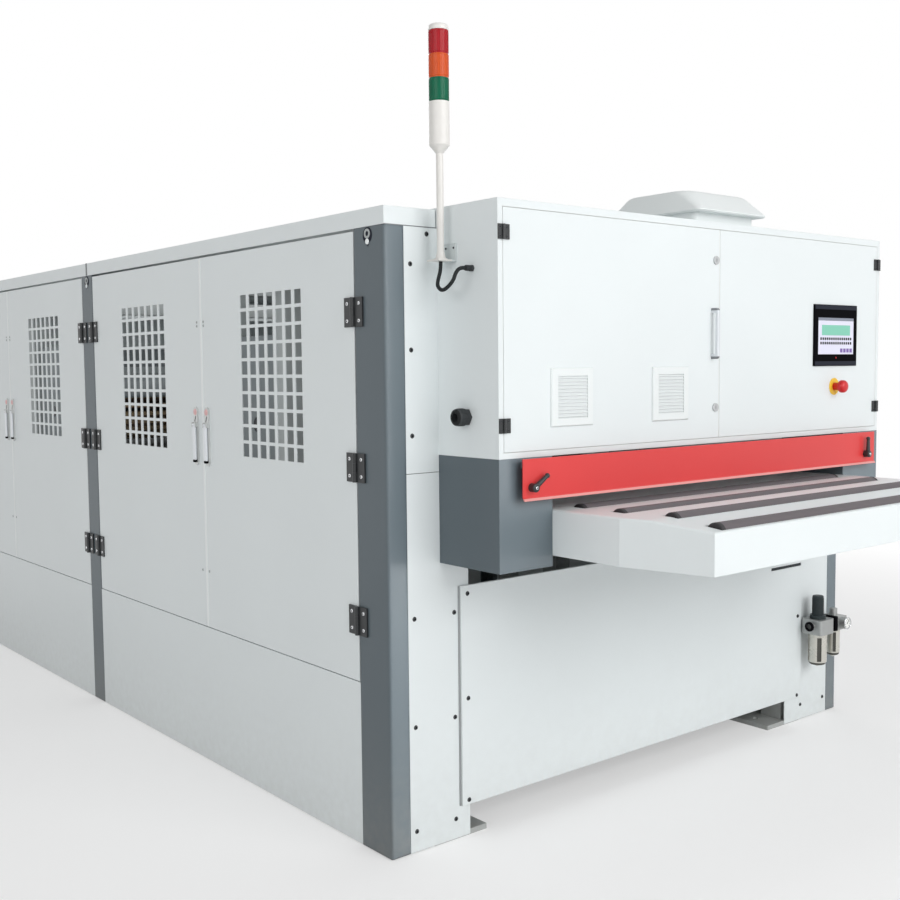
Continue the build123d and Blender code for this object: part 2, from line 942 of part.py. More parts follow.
def roof_vent():
    x = (vent_left + vent_right) / 2
    y = (vent_front + vent_back) / 2
    width = vent_right - vent_left
    depth = vent_back - vent_front
    rim = RectangleRounded(width, depth, vent_rim_corner)
    top_size = (width - 2 * vent_top_inset_x, depth - 2 * vent_top_inset_y)
    top = Pos(x, y, vent_top) * RectangleRounded(*top_size, vent_top_corner)
    hood = loft([Pos(x, y, vent_rim + vent_lip) * rim, top])
    hood = fillet(hood.edges().group_by(Axis.Z)[-1], vent_crown)
    hood += extrude(Pos(x, y, vent_rim) * rim, vent_lip)
    neck_size = (width - 2 * vent_neck_inset_x, depth - 2 * vent_neck_inset_y)
    neck = Pos(x, y, cabinet_top) * RectangleRounded(*neck_size, vent_rim_corner)
    return [hood, extrude(neck, vent_rim - cabinet_top)]


def tower_pole():
    half = bracket_width / 2
    y = (tower_y - half, tower_y + half)
    foot = block((tower_x - bracket_reach, cabinet_left), y, (pole_bottom, pole_bottom + bracket_thick))
    back = (cabinet_left - bracket_thick, cabinet_left)
    foot += block(back, y, (pole_bottom, pole_bottom + bracket_height))
    top = pole_bottom + bracket_thick
    flare = Cone(pole_flare_r, pole_r, pole_flare, align=(Align.CENTER, Align.CENTER, Align.MIN))
    foot += rod("z", pole_flange_r, top, top + pole_flange, (tower_x, tower_y))
    foot += Pos(tower_x, tower_y, top + pole_flange) * flare
    return foot + rod("z", pole_r, pole_bottom, tower_base_bottom, (tower_x, tower_y))


def tower_base():
    profile = Polyline(
        (0, tower_base_bottom),
        (pole_r, tower_base_bottom),
        (tower_r, tower_base_bottom + tower_taper),
        (tower_r, lens_bottom),
        (0, lens_bottom),
        close=True,
    )
    base = revolve(Plane.XZ * make_face(profile), Axis.Z)
    cap_start = lens_bottom + 3 * lens_height
    cap = rod("z", lens_r, cap_start, cap_start + tower_cap, (0, 0))
    cap = fillet(cap.edges().group_by(Axis.Z)[-1], tower_cap / 2)
    return [Pos(tower_x, tower_y, 0) * base, Pos(tower_x, tower_y, 0) * cap]


def tower_lens(level):
    start = lens_bottom + level * lens_height
    lens = rod("z", lens_r, start, start + lens_height, (tower_x, tower_y))
    return chamfer(lens.edges().filter_by(GeomType.CIRCLE), lens_edge)


def bend_radii(points):
    radii = []
    for before, corner, after in zip(points, points[1:], points[2:]):
        run_in = Vector(*corner) - Vector(*before)
        run_out = Vector(*after) - Vector(*corner)
        turn = radians(run_in.get_angle(run_out))
        radii.append(bend_share * min(run_in.length, run_out.length) / tan(turn / 2))
    return radii


def tower_cable():
    radii = bend_radii(cable_route)
    path = FilletPolyline(*cable_route, radius=radii)
    print("cable radii", [round(radius, 1) for radius in radii], "length", round(path.length, 1))
    section = Plane(origin=path @ 0, z_dir=path % 0) * Circle(cable_d / 2)
    cable = sweep(section, path=path)
    print("cable volume share", round(cable.volume / (section.area * path.length), 4))
    return cable


def hex_prism(radius, start, end, y, z):
    flat = Plane(origin=(start, y, z), x_dir=(0, 1, 0), z_dir=(1, 0, 0)) * RegularPolygon(radius, 6)
    return extrude(flat, end - start)


def cable_glands():
    nut = gland_length / 3
    small = hex_prism(gland_r, cabinet_left - nut, cabinet_left, gland_y, gland_z)
    end = cabinet_left - gland_length
    small += rod("x", gland_nose_r, end, cabinet_left - nut, (gland_y, gland_z))
    base = power_gland_length / 4
    end = cabinet_left - power_gland_length
    centre = (power_gland_y, power_gland_z)
    large = hex_prism(power_hex_r, cabinet_left - base, cabinet_left, *centre)
    dome = rod("x", power_gland_r, end, cabinet_left - base, centre)
    large += fillet(dome.edges().group_by(Axis.X)[0], power_gland_r / 3)
    return [small, large - rod("x", power_bore_r, end, end + power_bore_depth, centre)]


def infeed_block(x):
    return pan(x, (cabinet_front, 0), (block_bottom, cabinet_bottom), "+y")


def flap_lug(start, pin_to):
    x = (start, start + flap_lug_thick)
    axis = (flap_axis_y, flap_axis_z)
    height = (flap_axis_z - flap_lug_r, flap_axis_z + flap_lug_r)
    lug = block(x, (flap_axis_y, cabinet_front), height)
    lug += rod("x", flap_lug_r, x[0], x[1], axis)
    pin = sorted((sum(x) / 2, pin_to))
    return lug + rod("x", flap_pin_r, pin[0], pin[1], axis)


def flap_tabs():
    left = flap_lug_left + flap_lug_thick + flap_tab_air
    right = flap_lug_right - flap_tab_air - flap_tab_thick
    return (left, left + flap_tab_thick), (right, right + flap_tab_thick)


def infeed_blocks():
    left_tab, right_tab = flap_tabs()
    left = infeed_block((cabinet_left, block_inner_left))
    right = infeed_block((block_inner_right, cabinet_right))
    lugs = [flap_lug(flap_lug_left, left_tab[1]), flap_lug(flap_lug_right, right_tab[0])]
    return [left, right] + lugs


def safety_flap():
    bend = flap_bottom + flap_lip_height
    tip = flap_face - flap_lip_reach
    profile = Polyline(
        (flap_face, flap_top),
        (flap_face, bend),
        (tip, flap_bottom),
        (tip + sheet, flap_bottom),
        (flap_face + sheet, bend),
        (flap_face + sheet, flap_top),
        close=True,
    )
    flap = extrude(Plane.YZ.offset(flap_left) * make_face(profile), flap_right - flap_left)
    for tab in flap_tabs():
        tab_top = (flap_axis_z - flap_lug_r, flap_axis_z)
        plate = block(tab, (flap_face + sheet, flap_axis_y + flap_lug_r), tab_top)
        plate += rod("x", flap_lug_r, tab[0], tab[1], (flap_axis_y, flap_axis_z))
        plate -= rod("x", flap_pin_r + pin_air, tab[0], tab[1], (flap_axis_y, flap_axis_z))
        flap += plate
    for stud in (clamp_left, clamp_right):
        flap -= rod("y", clamp_stud_r + clamp_stud_air, flap_face, flap_face + sheet, (stud, clamp_z))
    return flap


def clamp_lever(x, tilt):
    face = flap_face - clamp_stud_air
    lever = rod("y", clamp_stud_r, face, cabinet_front - clamp_stud_gap, (0, 0))
    hub = rod("y", clamp_hub_r, face - clamp_hub, face, (0, 0))
    lever += fillet(hub.edges().group_by(Axis.Y)[0], clamp_hub_r / 3)
    arm_y = face - clamp_hub + clamp_arm_root_r + 1
    cone = Cone(clamp_arm_root_r, clamp_arm_tip_r, clamp_arm)
    lever += Pos(clamp_arm / 2, arm_y, 0) * Rot(0, 90, 0) * cone
    lever += Pos(clamp_arm, arm_y, 0) * Sphere(clamp_ball_r)
    return Pos(x, 0, clamp_z) * Rot(0, -tilt, 0) * lever


def table_solid(inset, drop):
    left, right = table_left + inset, table_right - inset
    front = -table_reach + inset
    nose_left = table_left + table_nose_inset + inset
    nose_right = table_right - table_nose_inset - inset
    plan = make_face(
        Polyline(
            (left, table_back),
            (left, -table_straight),
            (nose_left, front),
            (nose_right, front),
            (right, -table_straight),
            (right, table_back),
            close=True,
        )
    )
    body = extrude(Pos(0, 0, table_bottom) * plan, table_top - table_bottom)
    slope = (table_top - table_nose_top) / (table_reach - table_level)
    side = make_face(
        Polyline(
            (table_back, table_bottom),
            (table_back, table_top - drop),
            (-table_level, table_top - drop),
            (front, table_top - drop - slope * (table_reach - inset - table_level)),
            (front, table_bottom),
            close=True,
        )
    )
    profile = extrude(Plane.YZ * side, machine_width)
    return body & profile


def top_at(y):
    slope = (table_top - table_nose_top) / (table_reach - table_level)
    return table_top - slope * max(0, -table_level - y)


def roller_axis(index):
    return top_at(roller_lines[index]) + roller_rises[index] - roller_r


def roller_slot_span(index):
    reach = roller_reaches[index] + roller_slot_air
    return (machine_width / 2 - reach, machine_width / 2 + reach)


def axle_brackets(index):
    left, right = roller_slot_span(index)
    y = (roller_lines[index] - axle_bracket_half, roller_lines[index] + axle_bracket_half)
    z = (table_top - axle_bracket_depth, table_top)
    pair = block((left - axle_bracket, left), y, z) + block((right, right + axle_bracket), y, z)
    return pair & table_solid(table_sheet / 2, table_sheet / 2)


def infeed_table():
    outer = table_solid(0, 0)
    rims = outer.edges().filter_by(lambda edge: edge.center().Z > table_nose_top - 1)
    outer = fillet([edge for edge in rims if on_outside(edge)], table_edge)
    table = outer - table_solid(table_sheet, table_sheet)
    for index, y in enumerate(roller_lines):
        table += axle_brackets(index)
        slot = roller_slot_span(index)
        half = roller_slot / 2
        axis = (y, roller_axis(index))
        table -= block(slot, (y - half, y + half), (axis[1], table_top + 1))
        table -= rod("x", axle_r + pin_air, slot[0] - axle_bracket, slot[1] + axle_bracket, axis)
    return table


def on_outside(edge):
    middle = edge.center()
    along_side = abs(middle.X - machine_width / 2) > 600
    return along_side or middle.Y < -table_reach + 1


def infeed_roller(index):
    axis = (roller_lines[index], roller_axis(index))
    left = machine_width / 2 - roller_reaches[index]
    right = machine_width / 2 + roller_reaches[index]
    end = roller_slot_air + axle_bracket - 1
    roller = rod("x", roller_r, left, right, axis)
    roller = fillet(roller.edges().filter_by(GeomType.CIRCLE), roller_edge)
    return roller + rod("x", axle_r, left - end, right + end, axis)


def bearing_plates():
    z = (drum_z - bearing_plate_low, drum_z + bearing_plate_high)
    front = (front_drum_y - bearing_front_reach, bed_tube_inset)
    rear = (total_length - bed_tube_inset, rear_drum_y + bearing_front_reach)
    plates = []
    for y, axis in ((front, front_drum_y), (rear, rear_drum_y)):
        for start in (belt_left - belt_side_air - bearing_plate, belt_right + belt_side_air):
            end = start + bearing_plate
            bore = rod("x", drum_shaft_r + pin_air, start, end, (axis, drum_z))
            plates.append(block((start, end), y, z) - bore)
    return plates


def conveyor_bed():
    x = (belt_left + 2, belt_right - 2)
    y = (front_drum_y + drum_r + bed_end_air, rear_drum_y - drum_r - bed_end_air)
    top = belt_top - belt_thick - belt_air
    bed = block(x, y, (top - bed_thick, top))
    middle = machine_width / 2
    reach = (x[1] - x[0]) / 2 - bed_rib
    for centre in (middle - reach, middle, middle + reach):
        rib = (centre - bed_rib / 2, centre + bed_rib / 2)
        bed += block(rib, y, (bed_tube_top, top - bed_thick))
    return [bed] + bearing_plates()


def racetrack(radius):
    plane = Plane(origin=(belt_left, front_drum_y, drum_z), x_dir=(0, 1, 0), z_dir=(1, 0, 0))
    run = rear_drum_y - front_drum_y
    loop = Rectangle(run, 2 * radius, align=(Align.MIN, Align.CENTER))
    loop += Circle(radius)
    loop += Pos(run, 0) * Circle(radius)
    return extrude(plane * loop, belt_right - belt_left)


def conveyor_belt():
    inner = drum_r + belt_air
    return racetrack(inner + belt_thick) - racetrack(inner)


def drum(y, right_end):
    left_end = belt_left - belt_side_air - bearing_plate + 1
    roller = rod("x", drum_r, belt_left, belt_right, (y, drum_z))
    return roller + rod("x", drum_shaft_r, left_end, right_end, (y, drum_z))


def drive_roller():
    return drum(rear_drum_y, belt_right + belt_side_air + bearing_plate + gearbox - gearbox_overhang)


def idler_roller():
    return drum(front_drum_y, belt_right + belt_side_air + bearing_plate - 1)


def gearmotor():
    start = belt_right + belt_side_air + bearing_plate
    half = gearbox / 2
    y = (rear_drum_y - half, rear_drum_y + half)
    box = block((start, start + gearbox), y, (drum_z - half, drum_z + half))
    box = fillet(box.edges().filter_by(Axis.X), half / 4)
    centre = (start + half, rear_drum_y)
    low = drum_z - half - gear_motor_length
    neck = drum_z - half - gear_neck
    box += rod("z", gear_neck_r, neck, drum_z - half, centre)
    box += rod("z", gear_motor_r, low, low + gear_cowl, centre)
    box += rod("z", gear_core_r, low + gear_cowl, neck, centre)
    fin = block((gear_neck_r, gear_motor_r), (-gear_fin / 2, gear_fin / 2), (low + gear_cowl, neck))
    turns = [Rot(0, 0, 360 * number / gear_fins) for number in range(gear_fins)]
    box += [Pos(*centre, 0) * turn * fin for turn in turns]
    return box - rod("x", drum_shaft_r + pin_air, start, start + gearbox, (rear_drum_y, drum_z))


def brush_carriage(line):
    y = (line - portal_half + carriage_air, line + portal_half - carriage_air)
    z = (carriage_low, carriage_high)
    left = (carriage_left, carriage_left + carriage_plate)
    right = (carriage_right, carriage_right + carriage_plate)
    between = (left[1], right[0])
    beam_y = (line - carriage_beam_half, line + carriage_beam_half)
    carriage = block(left, y, z) + block(right, y, z)
    carriage += tube("x", between, beam_y, (carriage_beam_low, carriage_beam_high), carriage_wall)
    plane = Plane(origin=(between[0], line, brush_z), x_dir=(0, 1, 0), z_dir=(1, 0, 0))
    cover = Circle(hood_r + sheet) - Circle(hood_r)
    cover -= Pos(0, -hood_drop - hood_r) * Rectangle(4 * hood_r, 2 * hood_r)
    carriage += extrude(plane * cover, between[1] - between[0]) & block(between, y, z)
    centre = (line, brush_z)
    carriage += rod("x", bearing_r, left[1], left[1] + bearing_length, centre)
    carriage += rod("x", bearing_r, right[0] - bearing_length, right[0], centre)
    carriage -= rod("x", brush_shaft_r + pin_air, left[0], right[1], centre)
    for x in (spindle_left, spindle_right):
        carriage -= rod("z", spindle_r + carriage_air, carriage_beam_low, carriage_beam_high, (x, line))
    return carriage


def brush_roller(line):
    centre = (line, brush_z)
    roller = rod("x", brush_core_r, brush_left - brush_core, brush_right + brush_core, centre)
    half = brush_strip / 2
    strip = block((brush_left, brush_right), (-half, half), (brush_core_r - half, brush_r))
    turns = [Rot(360 * number / brush_strips, 0, 0) for number in range(brush_strips)]
    roller += [Pos(0, line, brush_z) * turn * strip for turn in turns]
    shaft = shrink((carriage_left, carriage_right + carriage_plate), shaft_end_air)
    return roller + rod("x", brush_shaft_r, shaft[0], shaft[1], centre)


def brush_motor(line):
    start = carriage_right + carriage_plate
    centre = (line, brush_z)
    motor = rod("x", motor_flange_r, start, start + motor_flange, centre)
    ribbed = (start + motor_flange, start + motor_length - motor_cowl)
    motor += rod("x", motor_core_r, ribbed[0], ribbed[1], centre)
    fin = block(ribbed, (-motor_fin / 2, motor_fin / 2), (motor_core_r - motor_fin, motor_r))
    turns = [Rot(360 * number / motor_fins, 0, 0) for number in range(motor_fins)]
    motor += [Pos(0, line, brush_z) * turn * fin for turn in turns]
    cowl = rod("x", motor_r, ribbed[1], start + motor_length, centre)
    motor += fillet(cowl.edges().group_by(Axis.X)[-1], motor_r / 6)
    half = motor_box / 2
    x = (start + motor_length / 3, start + motor_length / 3 + motor_box)
    return motor + block(x, (line - half, line + half), (brush_z, brush_z + motor_box_rise))


def lift_spindles():
    spindles = []
    for line in station_lines:
        for x in (spindle_left, spindle_right):
            spindles.append(rod("z", spindle_r, spindle_bottom, portal_top, (x, line)))
    return spindles


def air_unit_body():
    z = (unit_bottom, unit_top)
    y = (unit_y - unit_half, unit_y + unit_half)
    oiler_y = (unit_y - oiler_half, unit_y + oiler_half)
    centre = (unit_y, gauge_z)
    body = block((unit_x - unit_half, unit_x + unit_half), y, z)
    body = fillet(body.edges().filter_by(Axis.Z), unit_corner)
    oiler = block((oiler_x - oiler_half, oiler_x + oiler_half), oiler_y, shrink(z, oiler_drop))
    body += fillet(oiler.edges().filter_by(Axis.Z), unit_corner)
    link = (unit_x + unit_half, oiler_x - oiler_half)
    body += block(link, shrink(y, stay_inset), shrink(z, stay_inset))
    body += rod("z", sight_r, unit_top - oiler_drop, unit_top + sight_height, (oiler_x, unit_y))
    body += rod("y", gauge_r, oiler_y[0] - gauge_depth, oiler_y[0], (oiler_x, gauge_z))
    glass = oiler_y[0] - gauge_depth
    body -= rod("y", gauge_glass_r, glass, glass + gauge_glass_depth, (oiler_x, gauge_z))
    body += block((stay_left, oiler_x), (oiler_y[1], 0), shrink(z, stay_inset))
    inlet = unit_x - unit_half - port_reach
    body += rod("x", port_r + port_wall, inlet, inlet + port_reach, centre)
    body -= rod("x", port_r, inlet, inlet + port_depth, centre)
    outlet = oiler_x + oiler_half
    return body + rod("x", outlet_r, outlet, outlet + outlet_reach, centre)


def guard_cuts(x, radius, z):
    half = guard_slot_share * radius / 2
    cut = block((radius - guard_slot_depth, 2 * radius), (-half, half), z)
    turns = [Rot(0, 0, 360 * (number + 0.5) / guard_slots) for number in range(guard_slots)]
    return [Pos(x, unit_y, 0) * turn * cut for turn in turns]


def air_unit_bowls():
    bowls = []
    for x, radius, low, high in (
        (unit_x, bowl_r, bowl_bottom, unit_bottom),
        (oiler_x, oiler_r, oiler_bottom, unit_bottom + oiler_drop),
    ):
        bowl = rod("z", radius, low, high, (x, unit_y))
        bowl = fillet(bowl.edges().group_by(Axis.Z)[0], radius / 3)
        bowls.append(bowl - guard_cuts(x, radius, (low + guard_band, high - guard_band)))
    return bowls


def regulator_knob():
    start = unit_top + knob_air
    centre = (unit_x, unit_y)
    knob = rod("z", knob_collar_r, start, start + knob_collar, centre)
    grip = rod("z", knob_r, start + knob_collar, knob_top, centre)
    return knob + fillet(grip.edges().group_by(Axis.Z)[-1], knob_edge)


def save(name, made):
    pieces = made if isinstance(made, list) else [made]
    moved = [Pos(-origin_x, -origin_y, 0) * piece for piece in pieces]
    solids = [solid for piece in moved for solid in piece.solids()]
    shape = solids[0] if len(solids) == 1 else Compound(children=solids)
    shape.label = name
    export_step(shape, f"parts/{name}.step")
    print(name, len(solids), "solids", round(sum(solid.volume for solid in solids) / 1e6, 3), "litres")


os.makedirs("parts", exist_ok=True)
save("base_frame", base_frame())
save("posts", posts())
save("front_columns", front_columns())
save("lower_front_panel", lower_front_panel())
save("roof_panels", roof_panels())
save("side_panels", side_panels())
save("rear_panel", rear_panel())
for number in range(4):
    save(f"side_door_{number + 1}", side_door(number))
    save(f"door_handle_{number + 1}", door_handle(number))
save("side_hinges", side_hinges())
save("cabinet_shell", cabinet_shell())
save("mounting_plate", mounting_plate())
save("cabinet_door_left", cabinet_door_1())
save("cabinet_door_right", cabinet_door_2())
save("cabinet_hinges", cabinet_hinges())
save("cabinet_handle", cabinet_handle())
save("cabinet_lock_lower", cabinet_lock(lock_heights[0]))
save("cabinet_lock_upper", cabinet_lock(lock_heights[1]))
save("filter_fans", filter_fans())
save("hmi_housing", hmi_housing())
save("hmi_screen", hmi_screen())
save("estop_button", estop_button())
save("roof_vent", roof_vent())
save("tower_pole", tower_pole())
save("tower_base", tower_base())
for level, colour in enumerate(("green", "amber", "red")):
    save(f"tower_{colour}_lens", tower_lens(level))
save("tower_cable", tower_cable())
save("cable_glands", cable_glands())
save("infeed_blocks", infeed_blocks())
save("safety_flap", safety_flap())
save("clamp_lever_left", clamp_lever(clamp_left, clamp_left_tilt))
save("clamp_lever_right", clamp_lever(clamp_right, clamp_right_tilt))
save("infeed_table", infeed_table())
for number in range(len(roller_lines)):
    save(f"infeed_roller_{number + 1}", infeed_roller(number))
save("conveyor_bed", conveyor_bed())
save("conveyor_belt", conveyor_belt())
save("drive_roller", drive_roller())
save("idler_roller", idler_roller())
save("gearmotor", gearmotor())
for name, line in zip(("front", "rear"), station_lines):
    save(f"brush_carriage_{name}", brush_carriage(line))
    save(f"brush_roller_{name}", brush_roller(line))
    save(f"brush_motor_{name}", brush_motor(line))
save("lift_spindles", lift_spindles())
save("air_unit_body", air_unit_body())
save("air_unit_bowls", air_unit_bowls())
save("regulator_knob", regulator_knob())
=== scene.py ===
import math

import bmesh
import bpy
from mathutils import Matrix, Vector


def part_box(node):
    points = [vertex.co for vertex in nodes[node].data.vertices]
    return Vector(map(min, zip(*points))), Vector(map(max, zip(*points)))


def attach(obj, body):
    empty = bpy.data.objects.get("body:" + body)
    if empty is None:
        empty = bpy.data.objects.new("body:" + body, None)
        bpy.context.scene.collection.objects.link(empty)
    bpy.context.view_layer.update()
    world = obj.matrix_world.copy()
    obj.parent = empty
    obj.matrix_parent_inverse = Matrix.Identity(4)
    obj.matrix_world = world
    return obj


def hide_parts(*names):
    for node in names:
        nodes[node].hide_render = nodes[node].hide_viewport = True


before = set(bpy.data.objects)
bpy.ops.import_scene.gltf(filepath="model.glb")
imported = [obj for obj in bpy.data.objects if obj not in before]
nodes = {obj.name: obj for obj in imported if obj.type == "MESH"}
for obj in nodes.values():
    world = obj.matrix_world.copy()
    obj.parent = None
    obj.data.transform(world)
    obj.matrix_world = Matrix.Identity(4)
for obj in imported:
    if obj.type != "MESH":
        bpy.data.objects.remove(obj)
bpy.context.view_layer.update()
mm = 0.001
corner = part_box("posts")[0]  # foot of the front left corner post
toFront = Vector((0, -1, 0))
toRear = Vector((0, 1, 0))
toLeft = Vector((-1, 0, 0))
toRight = Vector((1, 0, 0))
upwards = Vector((0, 0, 1))


def spot(x, y, z):  # millimetres right, back and up from the corner's foot
    return Vector((corner.x + x * mm, corner.y + y * mm, z * mm))


def rgb(red, green, blue):  # screen values to Blender's linear colour
    def linear(value):
        value /= 255
        return value / 12.92 if value <= 0.04045 else ((value + 0.055) / 1.055) ** 2.4
    return (linear(red), linear(green), linear(blue), 1.0)


def addObject(name, data):
    made = bpy.data.objects.new(name, data)
    bpy.context.scene.collection.objects.link(made)
    return made


# Camera, floor and light

view = {  # millimetres and degrees, the reach in metres
    "place": (-1658.6, -2281.7, 1253.1),  # from the corner's foot
    "yaw": 39.2,
    "pitch": 4.155,
    "roll": -0.567,
    "lens": 45.593,
    "film": 36,
    "reach": 200,
}


def makeCamera():
    yaw, pitch, roll = (math.radians(view[key]) for key in ("yaw", "pitch", "roll"))
    level = Vector((math.cos(yaw), -math.sin(yaw), 0))
    ahead = math.cos(pitch) * Vector((math.sin(yaw), math.cos(yaw), 0)) - math.sin(pitch) * upwards
    top = level.cross(ahead)
    right = math.cos(roll) * level + math.sin(roll) * top
    up = math.cos(roll) * top - math.sin(roll) * level
    camera = addObject("camera", bpy.data.cameras.new("camera"))
    camera.data.lens = view["lens"]
    camera.data.sensor_width = view["film"]
    camera.data.clip_end = view["reach"]
    turn = Matrix((right, up, -ahead)).transposed().to_4x4()
    camera.matrix_world = Matrix.Translation(spot(*view["place"])) @ turn
    bpy.context.scene.camera = camera


softBoxes = {  # place and aim in metres, size, watts
    "keyBox": ((0.2, -7.2, 3.4), (0.0, -1.6, 1.0), (5.0, 3.0), 190),
    "lowFill": ((-0.4, -6.6, 0.9), (0.2, -0.4, 0.5), (5.0, 1.2), 22),
    "sideBox": ((-6.5, -3.2, 3.2), (-1.0, -0.6, 0.9), (4.0, 3.0), 76),
    "rearBox": ((3.5, 5.5, 3.5), (0.2, 1.0, 1.0), (4.0, 3.0), 130),
    # work lights behind the side doors and under the roof
    "frontBay": ((-0.9, -0.55, 1.05), (0.0, -0.5, 1.0), (1.5, 0.9), 1.5),
    "rearBay": ((-0.9, 1.25, 1.05), (0.0, 1.3, 1.0), (1.5, 0.9), 1.5),
    "frontRoof": ((0.0, -0.55, 1.57), (0.0, -0.55, 0.5), (1.4, 0.7), 4),
    "rearRoof": ((0.0, 1.25, 1.57), (0.0, 1.25, 0.5), (1.4, 0.7), 4),
    # reflections in the slate fronts alone
    "postGlint": ((3.4, -6.6, 1.1), (-0.9, -1.6, 1.0), (2.4, 2.0), 12),
    "blockGlint": ((3.4, -6.6, 1.1), (-0.9, -1.6, 1.0), (2.4, 2.0), 100),
}
glints = {"postGlint": ("posts", 30), "blockGlint": ("infeed_blocks", 180)}  # node, spread in degrees


def makeLights():
    for name, (place, aim, size, watts) in softBoxes.items():
        holder = addObject(name, bpy.data.lights.new(name, "AREA"))
        holder.data.shape = "RECTANGLE"
        holder.data.size, holder.data.size_y = size
        holder.data.energy = watts
        holder.visible_camera = False
        facing = (Vector(aim) - Vector(place)).to_track_quat("-Z", "Y")
        holder.matrix_world = Matrix.Translation(place) @ facing.to_matrix().to_4x4()
        if name in glints:
            node, spread = glints[name]
            lit = bpy.data.collections.new(name)
            lit.objects.link(nodes[node])
            holder.data.spread = math.radians(spread)
            holder.light_linking.receiver_collection = lit


def seenDirectly(tree):  # 1 for camera, mirror and glass rays
    path = addNode(tree, "ShaderNodeLightPath").outputs
    seen = mathNode(tree, "MAXIMUM", path["Is Camera Ray"], path["Is Glossy Ray"])
    return mathNode(tree, "MAXIMUM", seen, path["Is Transmission Ray"])


room = {
    "light": 0.42,
    "floor": (250, 250, 250),
    "floorSize": 60.0,
    "rough": 0.9,
    "specular": 0.1,
    "fade": (2.2, 4.4),  # metres from the machine's middle
    "glow": 0.4,
}


def makeRoom():
    world = bpy.data.worlds.new("studio")
    bpy.context.scene.world = world
    world.use_nodes = True
    tree = world.node_tree
    background = tree.nodes["Background"]
    background.inputs["Color"].default_value = (1, 1, 1, 1)
    plug(tree, background.inputs["Strength"], remap(tree, seenDirectly(tree), 0, 1, room["light"], 1))

    half = room["floorSize"] / 2
    mesh = bpy.data.meshes.new("floor")
    corners = [(-half, -half, 0), (half, -half, 0), (half, half, 0), (-half, half, 0)]
    mesh.from_pydata(corners, [], [(0, 1, 2, 3)])
    floor = addObject("floor", mesh)
    paper = bpy.data.materials.new("floorPaper")
    paper.use_nodes = True
    mesh.materials.append(paper)
    tree = paper.node_tree
    shader = tree.nodes["Principled BSDF"]
    shader.inputs["Base Color"].default_value = rgb(*room["floor"])
    shader.inputs["Roughness"].default_value = room["rough"]
    shader.inputs["Specular IOR Level"].default_value = room["specular"]
    # the paper turns to plain white away from the machine
    reach = vectorNode(tree, "LENGTH", objectPlace(tree))["Value"]
    whiter = remap(tree, reach, *room["fade"], room["glow"], 1)
    blend = addNode(tree, "ShaderNodeMixShader")
    plug(tree, blend.inputs[0], times(tree, whiter, seenDirectly(tree)))
    plug(tree, blend.inputs[1], shader.outputs[0])
    plug(tree, blend.inputs[2], addNode(tree, "ShaderNodeEmission").outputs[0])
    plug(tree, tree.nodes["Material Output"].inputs["Surface"], blend.outputs[0])


# Node helpers

def plug(tree, socket, value):
    if isinstance(value, bpy.types.NodeSocket):
        tree.links.new(value, socket)
    elif value is not None:
        socket.default_value = value


def addNode(tree, kind, values=None, **settings):
    node = tree.nodes.new(kind)
    for key, value in settings.items():
        setattr(node, key, value)
    for label, value in (values or {}).items():
        plug(tree, node.inputs[label], value)
    return node


def mathNode(tree, operation, first, second=None):
    return addNode(tree, "ShaderNodeMath", {0: first, 1: second}, operation=operation).outputs[0]


def times(tree, first, *others):
    for value in others:
        first = mathNode(tree, "MULTIPLY", first, value)
    return first


def plus(tree, first, *others):
    for value in others:
        first = mathNode(tree, "ADD", first, value)
    return first


def vectorNode(tree, operation, first, second=None):
    return addNode(tree, "ShaderNodeVectorMath", {0: first, 1: second}, operation=operation).outputs


def mixColor(tree, factor, first, second):
    return addNode(tree, "ShaderNodeMix", {0: factor, 6: first, 7: second}, data_type="RGBA").outputs[2]


def mixValue(tree, factor, first, second):
    return addNode(tree, "ShaderNodeMix", {0: factor, 2: first, 3: second}, data_type="FLOAT").outputs[0]


def remap(tree, value, fromLow, fromHigh, toLow, toHigh):
    limits = {"Value": value, "From Min": fromLow, "From Max": fromHigh, "To Min": toLow, "To Max": toHigh}
    return addNode(tree, "ShaderNodeMapRange", limits).outputs[0]


def noise(tree, place, scale, detail):
    return addNode(tree, "ShaderNodeTexNoise", {"Vector": place, "Scale": scale, "Detail": detail}).outputs[0]


def objectPlace(tree):
    return addNode(tree, "ShaderNodeTexCoord").outputs["Object"]


def separated(tree, vector):
    return addNode(tree, "ShaderNodeSeparateXYZ", {0: vector}).outputs


def combined(tree, x=None, y=None, z=None):
    return addNode(tree, "ShaderNodeCombineXYZ", {0: x, 1: y, 2: z}).outputs[0]


def nodeGroup(name, kind, inputs, outputs):
    group = bpy.data.node_groups.new(name, kind)
    for label, socketKind, value in inputs:
        socket = group.interface.new_socket(label, in_out="INPUT", socket_type="NodeSocket" + socketKind)
        if value is not None:
            socket.default_value = value
    for label, socketKind in outputs:
        group.interface.new_socket(label, in_out="OUTPUT", socket_type="NodeSocket" + socketKind)
    return group, group.nodes.new("NodeGroupInput").outputs, group.nodes.new("NodeGroupOutput").inputs


# Shared surface effects

grainNoise = {"slow": (2.3, 3.0), "patches": (38.0, 4.0), "fine": (1.0, 2.0)}  # scale, detail
dustFilm = {"height": 0.5, "paint": (150, 143, 132)}


